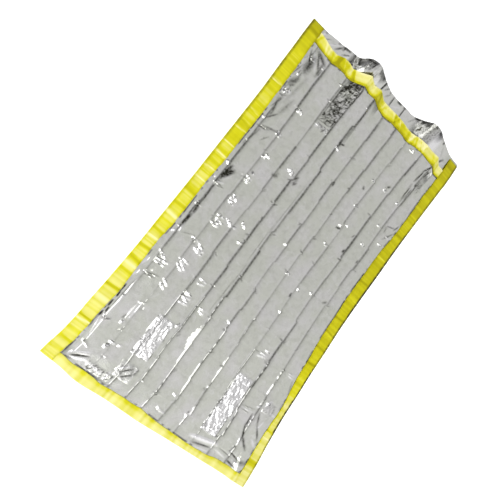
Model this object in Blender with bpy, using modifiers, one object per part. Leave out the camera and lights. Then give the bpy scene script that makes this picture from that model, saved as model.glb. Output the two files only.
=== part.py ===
"""An emergency sleeping bag: two sheets of metallised film, taped together along both sides and the foot.

It lies unfolded on the floor. +X runs across it, +Y along it from the foot to the mouth, and +Z is up. The origin
is on the floor, under the middle of the bag. The film keeps the grid of folds that it was packed in: ten long
folds stand up as ridges and the cross folds zigzag between them. At the mouth the upper sheet stops short of the
lower one and stands open in waves, and the lower sheet's edge curls up in two humps.
"""

import bmesh
import bpy

# Thicknesses and the clearances between the layers, in metres.
FILM = 0.0012
TAPE = 0.0010
CLEAR = 0.0004
FILM_TO_FILM = FILM + CLEAR
FILM_TO_TAPE = (FILM + TAPE) / 2 + CLEAR
WAVY_FILM_TO_TAPE = FILM_TO_TAPE + CLEAR

# The bag's width along its foot, and its outline as it lies: its two sides are drawn in at the middle.
BAG_WIDTH = 1.05
OUTLINE_COLUMNS = ("y", "left", "right")
OUTLINE = (
    (-0.9700, -0.5320, 0.5235),
    (-0.9100, -0.5251, 0.5220),
    (-0.8400, -0.5138, 0.5188),
    (-0.7600, -0.5082, 0.5098),
    (-0.6800, -0.5066, 0.5037),
    (-0.6000, -0.5033, 0.4987),
    (-0.5000, -0.5007, 0.4967),
    (-0.3800, -0.4988, 0.4925),
    (-0.2600, -0.4998, 0.4912),
    (-0.1200, -0.4999, 0.4884),
    (0.0400, -0.5014, 0.4914),
    (0.2000, -0.5040, 0.4970),
    (0.3600, -0.5062, 0.5011),
    (0.5200, -0.5097, 0.5085),
    (0.6600, -0.5167, 0.5165),
    (0.7600, -0.5204, 0.5226),
    (0.8600, -0.5252, 0.5261),
    (0.9700, -0.5285, 0.5295),
)

# Each tape is folded over an edge, by hand and so unevenly: this much of it shows on top, and the rest is beneath.
SIDE_TAPE_WIDTH = 0.100
SIDE_TAPE_COLUMNS = ("y", "left", "right")
SIDE_TAPE_TOPS = (
    (-0.900, 0.0600, 0.0520),
    (-0.832, 0.0620, 0.0505),
    (-0.706, 0.0620, 0.0440),
    (-0.580, 0.0670, 0.0360),
    (-0.454, 0.0600, 0.0515),
    (-0.342, 0.0560, 0.0550),
    (-0.230, 0.0640, 0.0635),
    (-0.084, 0.0620, 0.0640),
    (0.021, 0.0610, 0.0700),
    (0.137, 0.0680, 0.0700),
    (0.276, 0.0670, 0.0700),
    (0.400, 0.0690, 0.0600),
    (0.553, 0.0680, 0.0590),
    (0.679, 0.0710, 0.0640),
    (0.785, 0.0690, 0.0630),
)
SIDE_TAPE_ENDS = (0.954, 0.947)
FOOT_TAPE_WIDTH = 0.080
FOOT_COLUMNS = ("share", "y", "top")
FOOT = (
    (0.000, -0.9480, 0.0420),
    (0.073, -0.9545, 0.0420),
    (0.114, -0.9600, 0.0410),
    (0.161, -0.9680, 0.0490),
    (0.209, -0.9695, 0.0490),
    (0.256, -0.9670, 0.0415),
    (0.304, -0.9655, 0.0440),
    (0.399, -0.9668, 0.0465),
    (0.446, -0.9680, 0.0490),
    (0.494, -0.9670, 0.0420),
    (0.589, -0.9635, 0.0345),
    (0.684, -0.9610, 0.0300),
    (0.779, -0.9590, 0.0325),
    (0.827, -0.9573, 0.0395),
    (0.928, -0.9560, 0.0420),
    (1.000, -0.9550, 0.0420),
)
TAPE_TURN = 0.0016
TAPE_TURN_RISE = 0.0008
TAPE_TURN_OUTER = 0.0003
FILM_INSET = 0.0022

# The mouth, across the bag: where each sheet's edge lies, how far it stands up from its level elsewhere, and how
# wide the upper sheet's tape shows.
MOUTH_COLUMNS = ("share", "upper_y", "upper_lift", "tape", "lower_y", "lower_lift")
MOUTH = (
    (0.000, 0.930, 0.000, 0.060, 0.9570, 0.000),
    (0.073, 0.925, 0.000, 0.060, 0.9570, 0.000),
    (0.091, 0.920, 0.002, 0.061, 0.9575, 0.001),
    (0.120, 0.906, 0.006, 0.056, 0.9600, 0.003),
    (0.150, 0.896, 0.005, 0.050, 0.9620, 0.005),
    (0.180, 0.895, 0.003, 0.054, 0.9635, 0.007),
    (0.220, 0.909, 0.011, 0.065, 0.9640, 0.018),
    (0.255, 0.908, 0.009, 0.062, 0.9640, 0.022),
    (0.277, 0.902, 0.006, 0.060, 0.9640, 0.034),
    (0.300, 0.904, 0.016, 0.066, 0.9660, 0.069),
    (0.320, 0.908, 0.026, 0.068, 0.9670, 0.088),
    (0.362, 0.918, 0.049, 0.070, 0.9680, 0.093),
    (0.400, 0.904, 0.031, 0.056, 0.9680, 0.068),
    (0.440, 0.908, 0.037, 0.062, 0.9680, 0.040),
    (0.487, 0.899, 0.006, 0.056, 0.9720, 0.012),
    (0.530, 0.896, 0.006, 0.062, 0.9740, 0.001),
    (0.572, 0.888, 0.018, 0.056, 0.9740, 0.001),
    (0.614, 0.884, 0.020, 0.055, 0.9740, 0.001),
    (0.654, 0.882, 0.012, 0.050, 0.9740, 0.001),
    (0.694, 0.884, 0.006, 0.056, 0.9720, 0.030),
    (0.712, 0.885, 0.012, 0.058, 0.9705, 0.050),
    (0.740, 0.886, 0.022, 0.058, 0.9700, 0.082),
    (0.785, 0.880, 0.034, 0.057, 0.9700, 0.077),
    (0.826, 0.882, 0.024, 0.057, 0.9690, 0.053),
    (0.867, 0.874, 0.036, 0.062, 0.9680, 0.032),
    (0.905, 0.860, 0.008, 0.056, 0.9630, 0.016),
    (0.928, 0.864, 0.000, 0.056, 0.9590, 0.000),
    (1.000, 0.866, 0.000, 0.056, 0.9570, 0.000),
)
UPPER_RISE_FROM = 0.50
UPPER_RISE_POWER = 1.5
LOWER_RISE_RUN = 0.030
LOWER_RISE_POWER = 1.3
LOWER_MOUTH_ROWS = (0.048, 0.024, 0.0)

# The packing folds. The long ones are given as shares of the width, from the left edge.
LONG_FOLDS = (0.091, 0.177, 0.277, 0.362, 0.440, 0.530, 0.614, 0.694, 0.785, 0.867)
CROSS_FOLDS = (
    -0.832, -0.706, -0.580, -0.454, -0.342, -0.230, -0.084,
    0.021, 0.137, 0.276, 0.400, 0.553, 0.679, 0.785,
)
UPPER_RIDGE = 0.0035
RIDGE_HALF_SHARE = 0.007
CROSS_ZIGZAG = 0.0014
FOLD_JOG_SHARE = 0.0022

# Heights of the sheets' middle surfaces above the floor.
LOWER_LEVEL = FILM / 2
TAPE_LEVEL = TAPE / 2
SEAM_LEVEL = TAPE_LEVEL + FILM_TO_TAPE
SEAM_TAPE_LEVEL = SEAM_LEVEL + FILM_TO_FILM + FILM_TO_TAPE
LOFT = 0.0130

# The seams, where the sheets lie pressed together: the side ones' inner edges are shares of the width, and from
# there the film rises over a shoulder. The right-hand seam slopes: its inner edge is so far up.
LEFT_SEAM = 0.073
RIGHT_SEAM = 0.928
RIGHT_SLOPE_FROM = 0.905
RIGHT_SEAM_LIFT = 0.010
FOOT_SEAM = 0.051
FOOT_SHOULDER = 0.034

SILVER = (0.60, 0.60, 0.58, 1.0)
YELLOW = (0.84, 0.78, 0.02, 1.0)


def clear_scene():
    for obj in list(bpy.data.objects):
        bpy.data.objects.remove(obj, do_unlink=True)


def material(name, colour, roughness, metallic):
    made = bpy.data.materials.new(name)
    made.use_nodes = True
    shader = made.node_tree.nodes["Principled BSDF"]
    shader.inputs["Base Color"].default_value = colour
    shader.inputs["Roughness"].default_value = roughness
    shader.inputs["Metallic"].default_value = metallic
    return made


def table_value(table, columns, name, at):
    """The named column's value at that place, on straight lines between the rows."""
    column = columns.index(name)
    if at <= table[0][0]:
        return table[0][column]
    for low, high in zip(table, table[1:]):
        if at <= high[0]:
            part = (at - low[0]) / (high[0] - low[0])
            return low[column] + part * (high[column] - low[column])
    return table[-1][column]


def smooth_value(table, columns, name, at):
    """The named column on a smooth curve through the rows, whose slope at a row is that between its neighbours."""
    column = columns.index(name)
    rows = [(row[0], row[column]) for row in table]
    at = min(max(at, rows[0][0]), rows[-1][0])
    k = next(i for i in range(1, len(rows)) if at <= rows[i][0])

    def slope(i):
        before, after = rows[max(i - 1, 0)], rows[min(i + 1, len(rows) - 1)]
        return (after[1] - before[1]) / (after[0] - before[0])

    (y0, v0), (y1, v1) = rows[k - 1], rows[k]
    span = y1 - y0
    t = (at - y0) / span
    return (
        v0 * (1 + 2 * t) * (1 - t) ** 2
        + v1 * t * t * (3 - 2 * t)
        + slope(k - 1) * span * t * (1 - t) ** 2
        + slope(k) * span * t * t * (t - 1)
    )


def across(share, y):
    """The x of a point at that share of the bag's width."""
    left = smooth_value(OUTLINE, OUTLINE_COLUMNS, "left", y)
    right = smooth_value(OUTLINE, OUTLINE_COLUMNS, "right", y)
    return left + share * (right - left)


def share_of(x, y):
    left, right = across(0.0, y), across(1.0, y)
    return (x - left) / (right - left)


def inward(edge, distance):
    """The share of the width at that distance in from an edge, which is 0 at the left and 1 at the right."""
    return edge + distance / BAG_WIDTH * (1 - 2 * edge)


def side_tape_top(edge, y):
    return table_value(SIDE_TAPE_TOPS, SIDE_TAPE_COLUMNS, SIDE_TAPE_COLUMNS[1 + edge], y)


def foot(name, share):
    return smooth_value(FOOT, FOOT_COLUMNS, name, share)


def mouth(name, share):
    return table_value(MOUTH, MOUTH_COLUMNS, name, share)


def upper_tape_y(share):
    """Where the mouth tape's inner edge lies."""
    return mouth("upper_y", share) - mouth("tape", share)


def ramp(value, low, high):
    """0 up to low, 1 from high on, and a straight line between."""
    return min(1.0, max(0.0, (value - low) / (high - low)))


def right_lift(share):
    """How far the sloping right-hand seam lifts the layers: most at its inner edge, and nothing a little way in."""
    outwards = 1 - ramp(share, RIGHT_SEAM, 1.0)
    return RIGHT_SEAM_LIFT * outwards * ramp(share, RIGHT_SLOPE_FROM, RIGHT_SEAM)


def in_side_seam(share):
    """1 in a side seam, falling to 0 a little way in from it."""
    left = 1 - ramp(share, LEFT_SEAM, LONG_FOLDS[0])
    return max(left, ramp(share, RIGHT_SLOPE_FROM, RIGHT_SEAM))


def in_foot_seam(y, share):
    """1 in the foot seam, falling to 0 over the shoulder."""
    inner = foot("y", share) + FOOT_SEAM
    return 1 - ramp(y, inner, inner + FOOT_SHOULDER)


def in_mouth_tape(y, share):
    """1 where the mouth tape lies in the side seams, and 0 well below it."""
    inner = upper_tape_y(share)
    return ramp(y, inner - FOOT_SHOULDER, inner)


def ridge(share):
    """1 on a long fold's crest, and 0 beside it."""
    return max(1 - min(1.0, abs(share - fold) / RIDGE_HALF_SHARE) for fold in LONG_FOLDS)


def zigzag(y):
    """-1 and 1 in turn at the cross folds."""
    if not CROSS_FOLDS[0] <= y <= CROSS_FOLDS[-1]:
        return 0.0
    k = next(i for i in range(1, len(CROSS_FOLDS)) if y <= CROSS_FOLDS[i])
    part = (y - CROSS_FOLDS[k - 1]) / (CROSS_FOLDS[k] - CROSS_FOLDS[k - 1])
    return (2 * part - 1) * (-1) ** k


def lower_height(share, y):
    """The lower sheet's middle surface: on the floor inside, and on the tapes' lower halves along three edges."""
    side, end = in_side_seam(share), in_foot_seam(y, share)
    height = LOWER_LEVEL + max(side, end) * (SEAM_LEVEL - LOWER_LEVEL) + side * end * FILM_TO_TAPE
    part = ramp(y, mouth("upper_y", share) - LOWER_RISE_RUN, mouth("lower_y", share))
    height += mouth("lower_lift", share) * part**LOWER_RISE_POWER
    return height + right_lift(share)


def upper_height(share, y):
    """The upper sheet's middle surface: one film above the lower sheet in the seams, and lofted between them."""
    side, end = in_side_seam(share), in_foot_seam(y, share)
    seam = max(side, end)
    seam_height = SEAM_LEVEL + FILM_TO_FILM + side * end * FILM_TO_TAPE
    seam_height += side * in_mouth_tape(y, share) * WAVY_FILM_TO_TAPE
    height = seam * seam_height + (1 - seam) * LOFT
    pressed = ramp(y, CROSS_FOLDS[-1], upper_tape_y(share))
    height += (1 - seam) * (UPPER_RIDGE * (1 - pressed) * ridge(share) + CROSS_ZIGZAG * zigzag(y))
    part = ramp(y, UPPER_RISE_FROM, upper_tape_y(share))
    height += mouth("upper_lift", share) * part**UPPER_RISE_POWER
    return height + right_lift(share)


def sheet(name, lines, rows, place, thickness, collection, finish):
    """A grid of lines by rows whose points are put by place(line, row), thickened both ways."""
    grid = bmesh.new()
    bmesh.ops.create_grid(grid, x_segments=len(lines) - 1, y_segments=len(rows) - 1, size=0.5)
    for vertex in grid.verts:
        i = round((vertex.co.x + 0.5) * (len(lines) - 1))
        j = round((vertex.co.y + 0.5) * (len(rows) - 1))
        vertex.co = place(lines[i], rows[j])
    mesh = bpy.data.meshes.new(name)
    grid.to_mesh(mesh)
    grid.free()
    obj = bpy.data.objects.new(name, mesh)
    obj.data.materials.append(finish)
    collection.objects.link(obj)
    thicken = obj.modifiers.new("thicken", "SOLIDIFY")
    thicken.thickness = thickness
    thicken.offset = 0.0
    thicken.use_even_offset = True
    return obj


def columns(fold_offsets):
    """Shares of the width with a line of points: the seams, so far beside each fold, and each strip's middle."""
    shares = []
    for fold, following in zip(LONG_FOLDS, LONG_FOLDS[1:] + (RIGHT_SEAM,)):
        shares += [fold + offset for offset in fold_offsets] + [(fold + following) / 2]
    return ["left", LEFT_SEAM] + shares + [RIGHT_SEAM, "right"]


PLAIN_COLUMNS = columns((0.0,))
RIDGED_COLUMNS = columns((-RIDGE_HALF_SHARE, 0.0, RIDGE_HALF_SHARE))


def edge_share(column):
    return {"left": 0.0, "right": 1.0}.get(column, column)


def column_point(column, y):
    """(share, x) of a film column, whose folds jog a little from one cross fold to the next."""
    if column == "left":
        x = across(0, y) + FILM_INSET
        return share_of(x, y), x
    if column == "right":
        x = across(1, y) - FILM_INSET
        return share_of(x, y), x
    inside = ramp(column, LEFT_SEAM, LONG_FOLDS[0]) * (1 - ramp(column, RIGHT_SLOPE_FROM, RIGHT_SEAM))
    return column, across(column + FOLD_JOG_SHARE * zigzag(y) * inside, y)


# Every sheet's rows start at the foot and end at the mouth. A row is so far from the named edge, or at that y.
FOOT_ROWS = [("foot", FOOT_SEAM), ("foot", FOOT_SEAM + FOOT_SHOULDER)] + [("at", y) for y in CROSS_FOLDS]


def row_y(row, share):
    kind, value = row
    starts = {
        "foot": foot("y", share),
        "at": 0.0,
        "tape": upper_tape_y(share),
        "upper": mouth("upper_y", share),
        "lower": mouth("lower_y", share),
    }
    return starts[kind] + value


def film(name, lines, rows, height, collection, finish):
    def place(column, row):
        y = row_y(row, edge_share(column))
        share, x = column_point(column, y)
        return x, y, height(share, y)

    return sheet(name, lines, [("foot", FILM_INSET)] + rows, place, FILM, collection, finish)


def lower_sheet(collection, finish):
    rows = FOOT_ROWS + [("upper", -LOWER_RISE_RUN)] + [("lower", -run) for run in LOWER_MOUTH_ROWS]
    return film("back_panel", PLAIN_COLUMNS, rows, lower_height, collection, finish)


def upper_sheet(collection, finish):
    rows = FOOT_ROWS + [("tape", 0.0), ("upper", -FILM_INSET)]
    return film("front_panel", RIDGED_COLUMNS, rows, upper_height, collection, finish)


# A folded tape's section, from its lower edge to its upper one: how far in from the fold, on which leg, and how far
# up from it. The legs' own inner edges are at the distances "under" and "top".
FOLDED_SECTION = (
    ("under", "low", 0.0),
    (TAPE_TURN, "low", 0.0),
    (TAPE_TURN_OUTER, "low", TAPE_TURN_RISE),
    (TAPE_TURN_OUTER, "high", -TAPE_TURN_RISE),
    (TAPE_TURN, "high", 0.0),
    ("top", "high", 0.0),
)


def section_point(column, under, top, low, high):
    """(distance in from the fold, height) of a point of a folded tape's section."""
    distance, leg, rise = column
    return {"under": under, "top": top}.get(distance, distance), {"low": low, "high": high}[leg] + rise


def side_tape(name, edge, collection, finish):
    """The tape folded over one side, from the foot to near the lower sheet's mouth. edge is 0 left and 1 right."""
    end = SIDE_TAPE_ENDS[edge]
    rows = [("foot", 0.0)] + FOOT_ROWS + [("tape", 0.0), ("upper", 0.0), ("at", end)]

    def place(column, row):
        middle_y = row_y(row, edge)
        top = side_tape_top(edge, middle_y)
        distance = section_point(column, SIDE_TAPE_WIDTH - top, top, 0, 0)[0]
        share = inward(edge, distance)
        y = row_y(row, share) if row[0] == "foot" else middle_y
        x = across(edge, y) + distance * (1 - 2 * edge)
        high = SEAM_TAPE_LEVEL + in_foot_seam(y, share) * 2 * FILM_TO_TAPE
        high += in_mouth_tape(y, edge) * 2 * WAVY_FILM_TO_TAPE
        if y == end:
            high = SEAM_LEVEL + FILM_TO_TAPE
        height = section_point(column, 0, 0, TAPE_LEVEL, high)[1]
        return x, y, height + right_lift(share_of(x, y))

    return sheet(name, FOLDED_SECTION, rows, place, TAPE, collection, finish)


def foot_tape(collection, finish):
    """The tape folded over the foot, whose ends lie inside the side tapes."""

    def place(row, column):
        top = foot("top", edge_share(column))
        distance, height = section_point(row, FOOT_TAPE_WIDTH - top, top, TAPE_LEVEL, SEAM_TAPE_LEVEL)
        y = foot("y", edge_share(column)) + distance
        share, x = column_point(column, y)
        return x, y, height + in_side_seam(share) * FILM_TO_TAPE + right_lift(share)

    return sheet("tape_foot", FOLDED_SECTION, PLAIN_COLUMNS, place, TAPE, collection, finish)


def mouth_tape(collection, finish):
    """The tape folded over the upper sheet's mouth, as wavy as the sheet."""

    def place(row, column):
        width = mouth("tape", edge_share(column))
        distance, height = section_point(row, width, width, -WAVY_FILM_TO_TAPE, WAVY_FILM_TO_TAPE)
        edge_y = mouth("upper_y", edge_share(column))
        film_y = edge_y - max(distance, FILM_INSET)
        share, x = column_point(column, film_y)
        return x, edge_y - distance, upper_height(share, film_y) + height

    return sheet("tape_mouth", FOLDED_SECTION, RIDGED_COLUMNS, place, TAPE, collection, finish)


def main():
    clear_scene()
    bag = bpy.data.collections.new("emergency_sleeping_bag")
    bpy.context.scene.collection.children.link(bag)
    silver = material("film_silver", SILVER, 0.25, 1.0)
    yellow = material("tape_yellow", YELLOW, 0.40, 0.0)
    lower_sheet(bag, silver)
    upper_sheet(bag, silver)
    side_tape("tape_left", 0, bag, yellow)
    side_tape("tape_right", 1, bag, yellow)
    foot_tape(bag, yellow)
    mouth_tape(bag, yellow)


main()
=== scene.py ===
"""An unfolded emergency sleeping bag of crinkled silver film, edged with yellow tape, on a pale floor.

Every piece is a finer sheet laid on its CAD solid's folds. The tables of the outline, the tapes, the mouth
and the packing folds repeat the part's own. Lengths are in metres, but for the tables that say millimetres.
+X runs across the bag and +Y from its foot to its mouth. A share is a place across the bag, from 0 at its
left edge to 1 at its right.
"""

import bpy
import numpy as np
from mathutils import Matrix


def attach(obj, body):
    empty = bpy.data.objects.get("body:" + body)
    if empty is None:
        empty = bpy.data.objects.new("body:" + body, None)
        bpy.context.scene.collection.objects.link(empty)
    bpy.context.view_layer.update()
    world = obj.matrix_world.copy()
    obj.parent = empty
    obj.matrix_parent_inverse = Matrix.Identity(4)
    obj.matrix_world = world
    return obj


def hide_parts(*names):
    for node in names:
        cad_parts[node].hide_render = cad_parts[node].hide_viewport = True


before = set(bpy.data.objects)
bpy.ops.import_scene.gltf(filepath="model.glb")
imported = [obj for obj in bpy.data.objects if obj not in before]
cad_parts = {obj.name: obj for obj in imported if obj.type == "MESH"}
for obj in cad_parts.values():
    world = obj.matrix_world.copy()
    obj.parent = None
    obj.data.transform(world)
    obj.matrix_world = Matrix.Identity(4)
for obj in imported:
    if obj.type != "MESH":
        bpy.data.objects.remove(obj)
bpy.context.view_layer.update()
rng = np.random.default_rng(7)


class Table:
    """Rows of numbers, whose other columns are looked up by the first one."""

    def __init__(self, columns, rows):
        self.keys, *values = np.array(rows).T
        self.columns = dict(zip(columns.split()[1:], values))

    def line(self, name, at):
        """The named column on straight lines between the rows."""
        return np.interp(at, self.keys, self.columns[name])

    def curve(self, name, at):
        """The named column on a smooth curve, whose slope at a row is that between its neighbours."""
        keys, values = self.keys, self.columns[name]
        at = np.clip(at, keys[0], keys[-1])
        low = np.r_[0, np.arange(len(keys) - 1)]
        high = np.r_[np.arange(1, len(keys)), len(keys) - 1]
        slopes = (values[high] - values[low]) / (keys[high] - keys[low])
        k = np.clip(np.searchsorted(keys, at), 1, len(keys) - 1)
        span = keys[k] - keys[k - 1]
        t = (at - keys[k - 1]) / span
        return (
            values[k - 1] * (1 + 2 * t) * (1 - t) ** 2
            + values[k] * t * t * (3 - 2 * t)
            + slopes[k - 1] * span * t * (1 - t) ** 2
            + slopes[k] * span * t * t * (t - 1)
        )


# Thicknesses and clearances between the layers, as in the part.
FILM = 0.0012
TAPE = 0.0010
CLEAR = 0.0004
FILM_TO_FILM = FILM + CLEAR
FILM_TO_TAPE = (FILM + TAPE) / 2 + CLEAR
WAVY_FILM_TO_TAPE = FILM_TO_TAPE + CLEAR
LOWER_LEVEL = FILM / 2
TAPE_LEVEL = TAPE / 2
SEAM_LEVEL = TAPE_LEVEL + FILM_TO_TAPE
SEAM_TAPE_LEVEL = SEAM_LEVEL + FILM_TO_FILM + FILM_TO_TAPE
LOFT = 0.0130

# The seams' inner edges. The upper film rises from them over softer shoulders than the part's.
LEFT_SEAM = 0.073
RIGHT_SEAM = 0.928
RIGHT_SLOPE_FROM = 0.905
RIGHT_SEAM_LIFT = 0.010
FOOT_SEAM = 0.051
FOOT_SHOULDER = 0.034
SOFT_LEFT_SHOULDER = 0.095
SOFT_FOOT_SHOULDER = 0.085

BAG_WIDTH = 1.05
OUTLINE = Table("y left right", (
    (-0.97, -0.532, 0.5235), (-0.91, -0.5251, 0.522), (-0.84, -0.5138, 0.5188), (-0.76, -0.5082, 0.5098),
    (-0.68, -0.5066, 0.5037), (-0.6, -0.5033, 0.4987), (-0.5, -0.5007, 0.4967), (-0.38, -0.4988, 0.4925),
    (-0.26, -0.4998, 0.4912), (-0.12, -0.4999, 0.4884), (0.04, -0.5014, 0.4914), (0.2, -0.504, 0.497),
    (0.36, -0.5062, 0.5011), (0.52, -0.5097, 0.5085), (0.66, -0.5167, 0.5165), (0.76, -0.5204, 0.5226),
    (0.86, -0.5252, 0.5261), (0.97, -0.5285, 0.5295),
))
SIDES = ("left", "right")
SIDE_TAPE_WIDTH = 0.100
SIDE_TAPE_TOPS = Table("y left right", (
    (-0.9, 0.06, 0.052), (-0.832, 0.062, 0.0505), (-0.706, 0.062, 0.044), (-0.58, 0.067, 0.036),
    (-0.454, 0.06, 0.0515), (-0.342, 0.056, 0.055), (-0.23, 0.064, 0.0635), (-0.084, 0.062, 0.064),
    (0.021, 0.061, 0.07), (0.137, 0.068, 0.07), (0.276, 0.067, 0.07), (0.4, 0.069, 0.06),
    (0.553, 0.068, 0.059), (0.679, 0.071, 0.064), (0.785, 0.069, 0.063),
))
SIDE_TAPE_ENDS = (0.954, 0.947)
FOOT_TAPE_WIDTH = 0.080
FOOT = Table("share y top", (
    (0.0, -0.948, 0.042), (0.073, -0.9545, 0.042), (0.114, -0.96, 0.041), (0.161, -0.968, 0.049),
    (0.209, -0.9695, 0.049), (0.256, -0.967, 0.0415), (0.304, -0.9655, 0.044), (0.399, -0.9668, 0.0465),
    (0.446, -0.968, 0.049), (0.494, -0.967, 0.042), (0.589, -0.9635, 0.0345), (0.684, -0.961, 0.03),
    (0.779, -0.959, 0.0325), (0.827, -0.9573, 0.0395), (0.928, -0.956, 0.042), (1.0, -0.955, 0.042),
))
TAPE_TURN = 0.0016
TAPE_TURN_RISE = 0.0008
TAPE_TURN_OUTER = 0.0003
TAPE_SKIN = 0.0006
LOWER_LEG_STEPS = 4
FILM_INSET = 0.0022

MOUTH = Table("share upper_y upper_lift tape lower_y lower_lift", (
    (0.0, 0.93, 0.0, 0.06, 0.957, 0.0), (0.073, 0.925, 0.0, 0.06, 0.957, 0.0),
    (0.091, 0.92, 0.002, 0.061, 0.9575, 0.001), (0.12, 0.906, 0.006, 0.056, 0.96, 0.003),
    (0.15, 0.896, 0.005, 0.05, 0.962, 0.005), (0.18, 0.895, 0.003, 0.054, 0.9635, 0.007),
    (0.22, 0.909, 0.011, 0.065, 0.964, 0.018), (0.255, 0.908, 0.009, 0.062, 0.964, 0.022),
    (0.277, 0.902, 0.006, 0.06, 0.964, 0.034), (0.3, 0.904, 0.016, 0.066, 0.966, 0.069),
    (0.32, 0.908, 0.026, 0.068, 0.967, 0.088), (0.362, 0.918, 0.049, 0.07, 0.968, 0.093),
    (0.4, 0.904, 0.031, 0.056, 0.968, 0.068), (0.44, 0.908, 0.037, 0.062, 0.968, 0.04),
    (0.487, 0.899, 0.006, 0.056, 0.972, 0.012), (0.53, 0.896, 0.006, 0.062, 0.974, 0.001),
    (0.572, 0.888, 0.018, 0.056, 0.974, 0.001), (0.614, 0.884, 0.02, 0.055, 0.974, 0.001),
    (0.654, 0.882, 0.012, 0.05, 0.974, 0.001), (0.694, 0.884, 0.006, 0.056, 0.972, 0.03),
    (0.712, 0.885, 0.012, 0.058, 0.9705, 0.05), (0.74, 0.886, 0.022, 0.058, 0.97, 0.082),
    (0.785, 0.88, 0.034, 0.057, 0.97, 0.077), (0.826, 0.882, 0.024, 0.057, 0.969, 0.053),
    (0.867, 0.874, 0.036, 0.062, 0.968, 0.032), (0.905, 0.86, 0.008, 0.056, 0.963, 0.016),
    (0.928, 0.864, 0.0, 0.056, 0.959, 0.0), (1.0, 0.866, 0.0, 0.056, 0.957, 0.0),
))
UPPER_RISE_FROM = 0.50
UPPER_RISE_POWER = 1.5
LOWER_RISE_RUN = 0.030
LOWER_RISE_POWER = 1.3

LONG_FOLDS = (0.091, 0.177, 0.277, 0.362, 0.440, 0.530, 0.614, 0.694, 0.785, 0.867)
CROSS_FOLDS = (
    -0.832, -0.706, -0.580, -0.454, -0.342, -0.230, -0.084,
    0.021, 0.137, 0.276, 0.400, 0.553, 0.679, 0.785,
)


def across(share, y):
    left, right = OUTLINE.curve("left", y), OUTLINE.curve("right", y)
    return left + share * (right - left)


def share_of(x, y):
    left, right = across(0.0, y), across(1.0, y)
    return (x - left) / (right - left)


def upper_tape_y(share):
    """Where the mouth tape's inner edge is."""
    return MOUTH.line("upper_y", share) - MOUTH.line("tape", share)


def in_metres(table, count):
    """The table's rows, with their first so many columns turned from millimetres into metres."""
    for row in table:
        yield *(np.array(row[:count]) / 1000), *row[count:]


def ramp(value, low, high):
    return np.clip((value - low) / (high - low), 0, 1)


def eased(t):
    return t * t * (3 - 2 * t)


def tent(distance, half_width):
    """1 on a crease, falling straight to 0 at each side."""
    return np.clip(1 - np.abs(distance) / half_width, 0, 1)


def uneven(at, places, low, high):
    """A random value at each place, and straight lines between them."""
    return np.interp(at, places, rng.uniform(low, high, len(places)))


def right_lift(share):
    outwards = 1 - ramp(share, RIGHT_SEAM, 1.0)
    return RIGHT_SEAM_LIFT * outwards * ramp(share, RIGHT_SLOPE_FROM, RIGHT_SEAM)


def in_side_seam(share, shoulder=LONG_FOLDS[0] - LEFT_SEAM):
    left = 1 - ramp(share, LEFT_SEAM, LEFT_SEAM + shoulder)
    return np.maximum(left, ramp(share, RIGHT_SLOPE_FROM, RIGHT_SEAM))


def in_foot_seam(y, share, shoulder=FOOT_SHOULDER):
    inner = FOOT.curve("y", share) + FOOT_SEAM
    return 1 - ramp(y, inner, inner + shoulder)


def in_mouth_tape(y, share):
    inner = upper_tape_y(share)
    return ramp(y, inner - FOOT_SHOULDER, inner)


def lower_base(share, y):
    """The lower sheet's height, without its creases."""
    side, end = in_side_seam(share), in_foot_seam(y, share)
    height = LOWER_LEVEL + np.maximum(side, end) * (SEAM_LEVEL - LOWER_LEVEL) + side * end * FILM_TO_TAPE
    part = ramp(y, MOUTH.line("upper_y", share) - LOWER_RISE_RUN, MOUTH.line("lower_y", share))
    return height + MOUTH.curve("lower_lift", share) * part**LOWER_RISE_POWER + right_lift(share)


def upper_base(share, y):
    """The upper sheet's height, without its creases."""
    side, end = in_side_seam(share), in_foot_seam(y, share)
    soft = np.maximum(in_side_seam(share, SOFT_LEFT_SHOULDER), in_foot_seam(y, share, SOFT_FOOT_SHOULDER))
    seam_height = SEAM_LEVEL + FILM_TO_FILM + side * end * FILM_TO_TAPE
    seam_height = seam_height + side * in_mouth_tape(y, share) * WAVY_FILM_TO_TAPE
    height = soft * seam_height + (1 - soft) * LOFT
    part = ramp(y, UPPER_RISE_FROM, upper_tape_y(share))
    return height + MOUTH.line("upper_lift", share) * part**UPPER_RISE_POWER + right_lift(share)


# The grid that the films' packing folds make. Each crossing lies a little off its place, and up or down.
LATTICE_SHARES = np.array((0.0, LEFT_SEAM) + LONG_FOLDS + (RIGHT_SEAM, 1.0))
LATTICE_ROWS = np.array((-1.0,) + CROSS_FOLDS + (1.0,))
CROSSING_SHIFT_Y = 0.0050
CROSSING_RISE = 0.0013
CROSS_HALF_WIDTH = 0.0045
CROSS_RISE = 0.0005


def crossings(spread):
    """A random value for each crossing of folds, and none on the films' edges."""
    values = rng.uniform(-spread, spread, (len(LATTICE_SHARES), len(LATTICE_ROWS)))
    values[:2] = 0
    values[-2:] = 0
    values[:, [0, -1]] = 0
    return values


def cell(lines, at):
    """(the number of the line after each place, how far along its cell the place is, from 0 to 1)"""
    i = np.clip(np.searchsorted(lines, at, side="right"), 1, len(lines) - 1)
    return i, (at - lines[i - 1]) / (lines[i] - lines[i - 1])


def lattice_value(values, share, row):
    """Values given at the crossings of the folds, on straight lines between them."""
    i, a = cell(LATTICE_SHARES, share)
    j, b = cell(LATTICE_ROWS, row)
    low = values[i - 1, j - 1] * (1 - a) + values[i, j - 1] * a
    high = values[i - 1, j] * (1 - a) + values[i, j] * a
    return low * (1 - b) + high * b


SHIFT_Y = crossings(CROSSING_SHIFT_Y)

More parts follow.
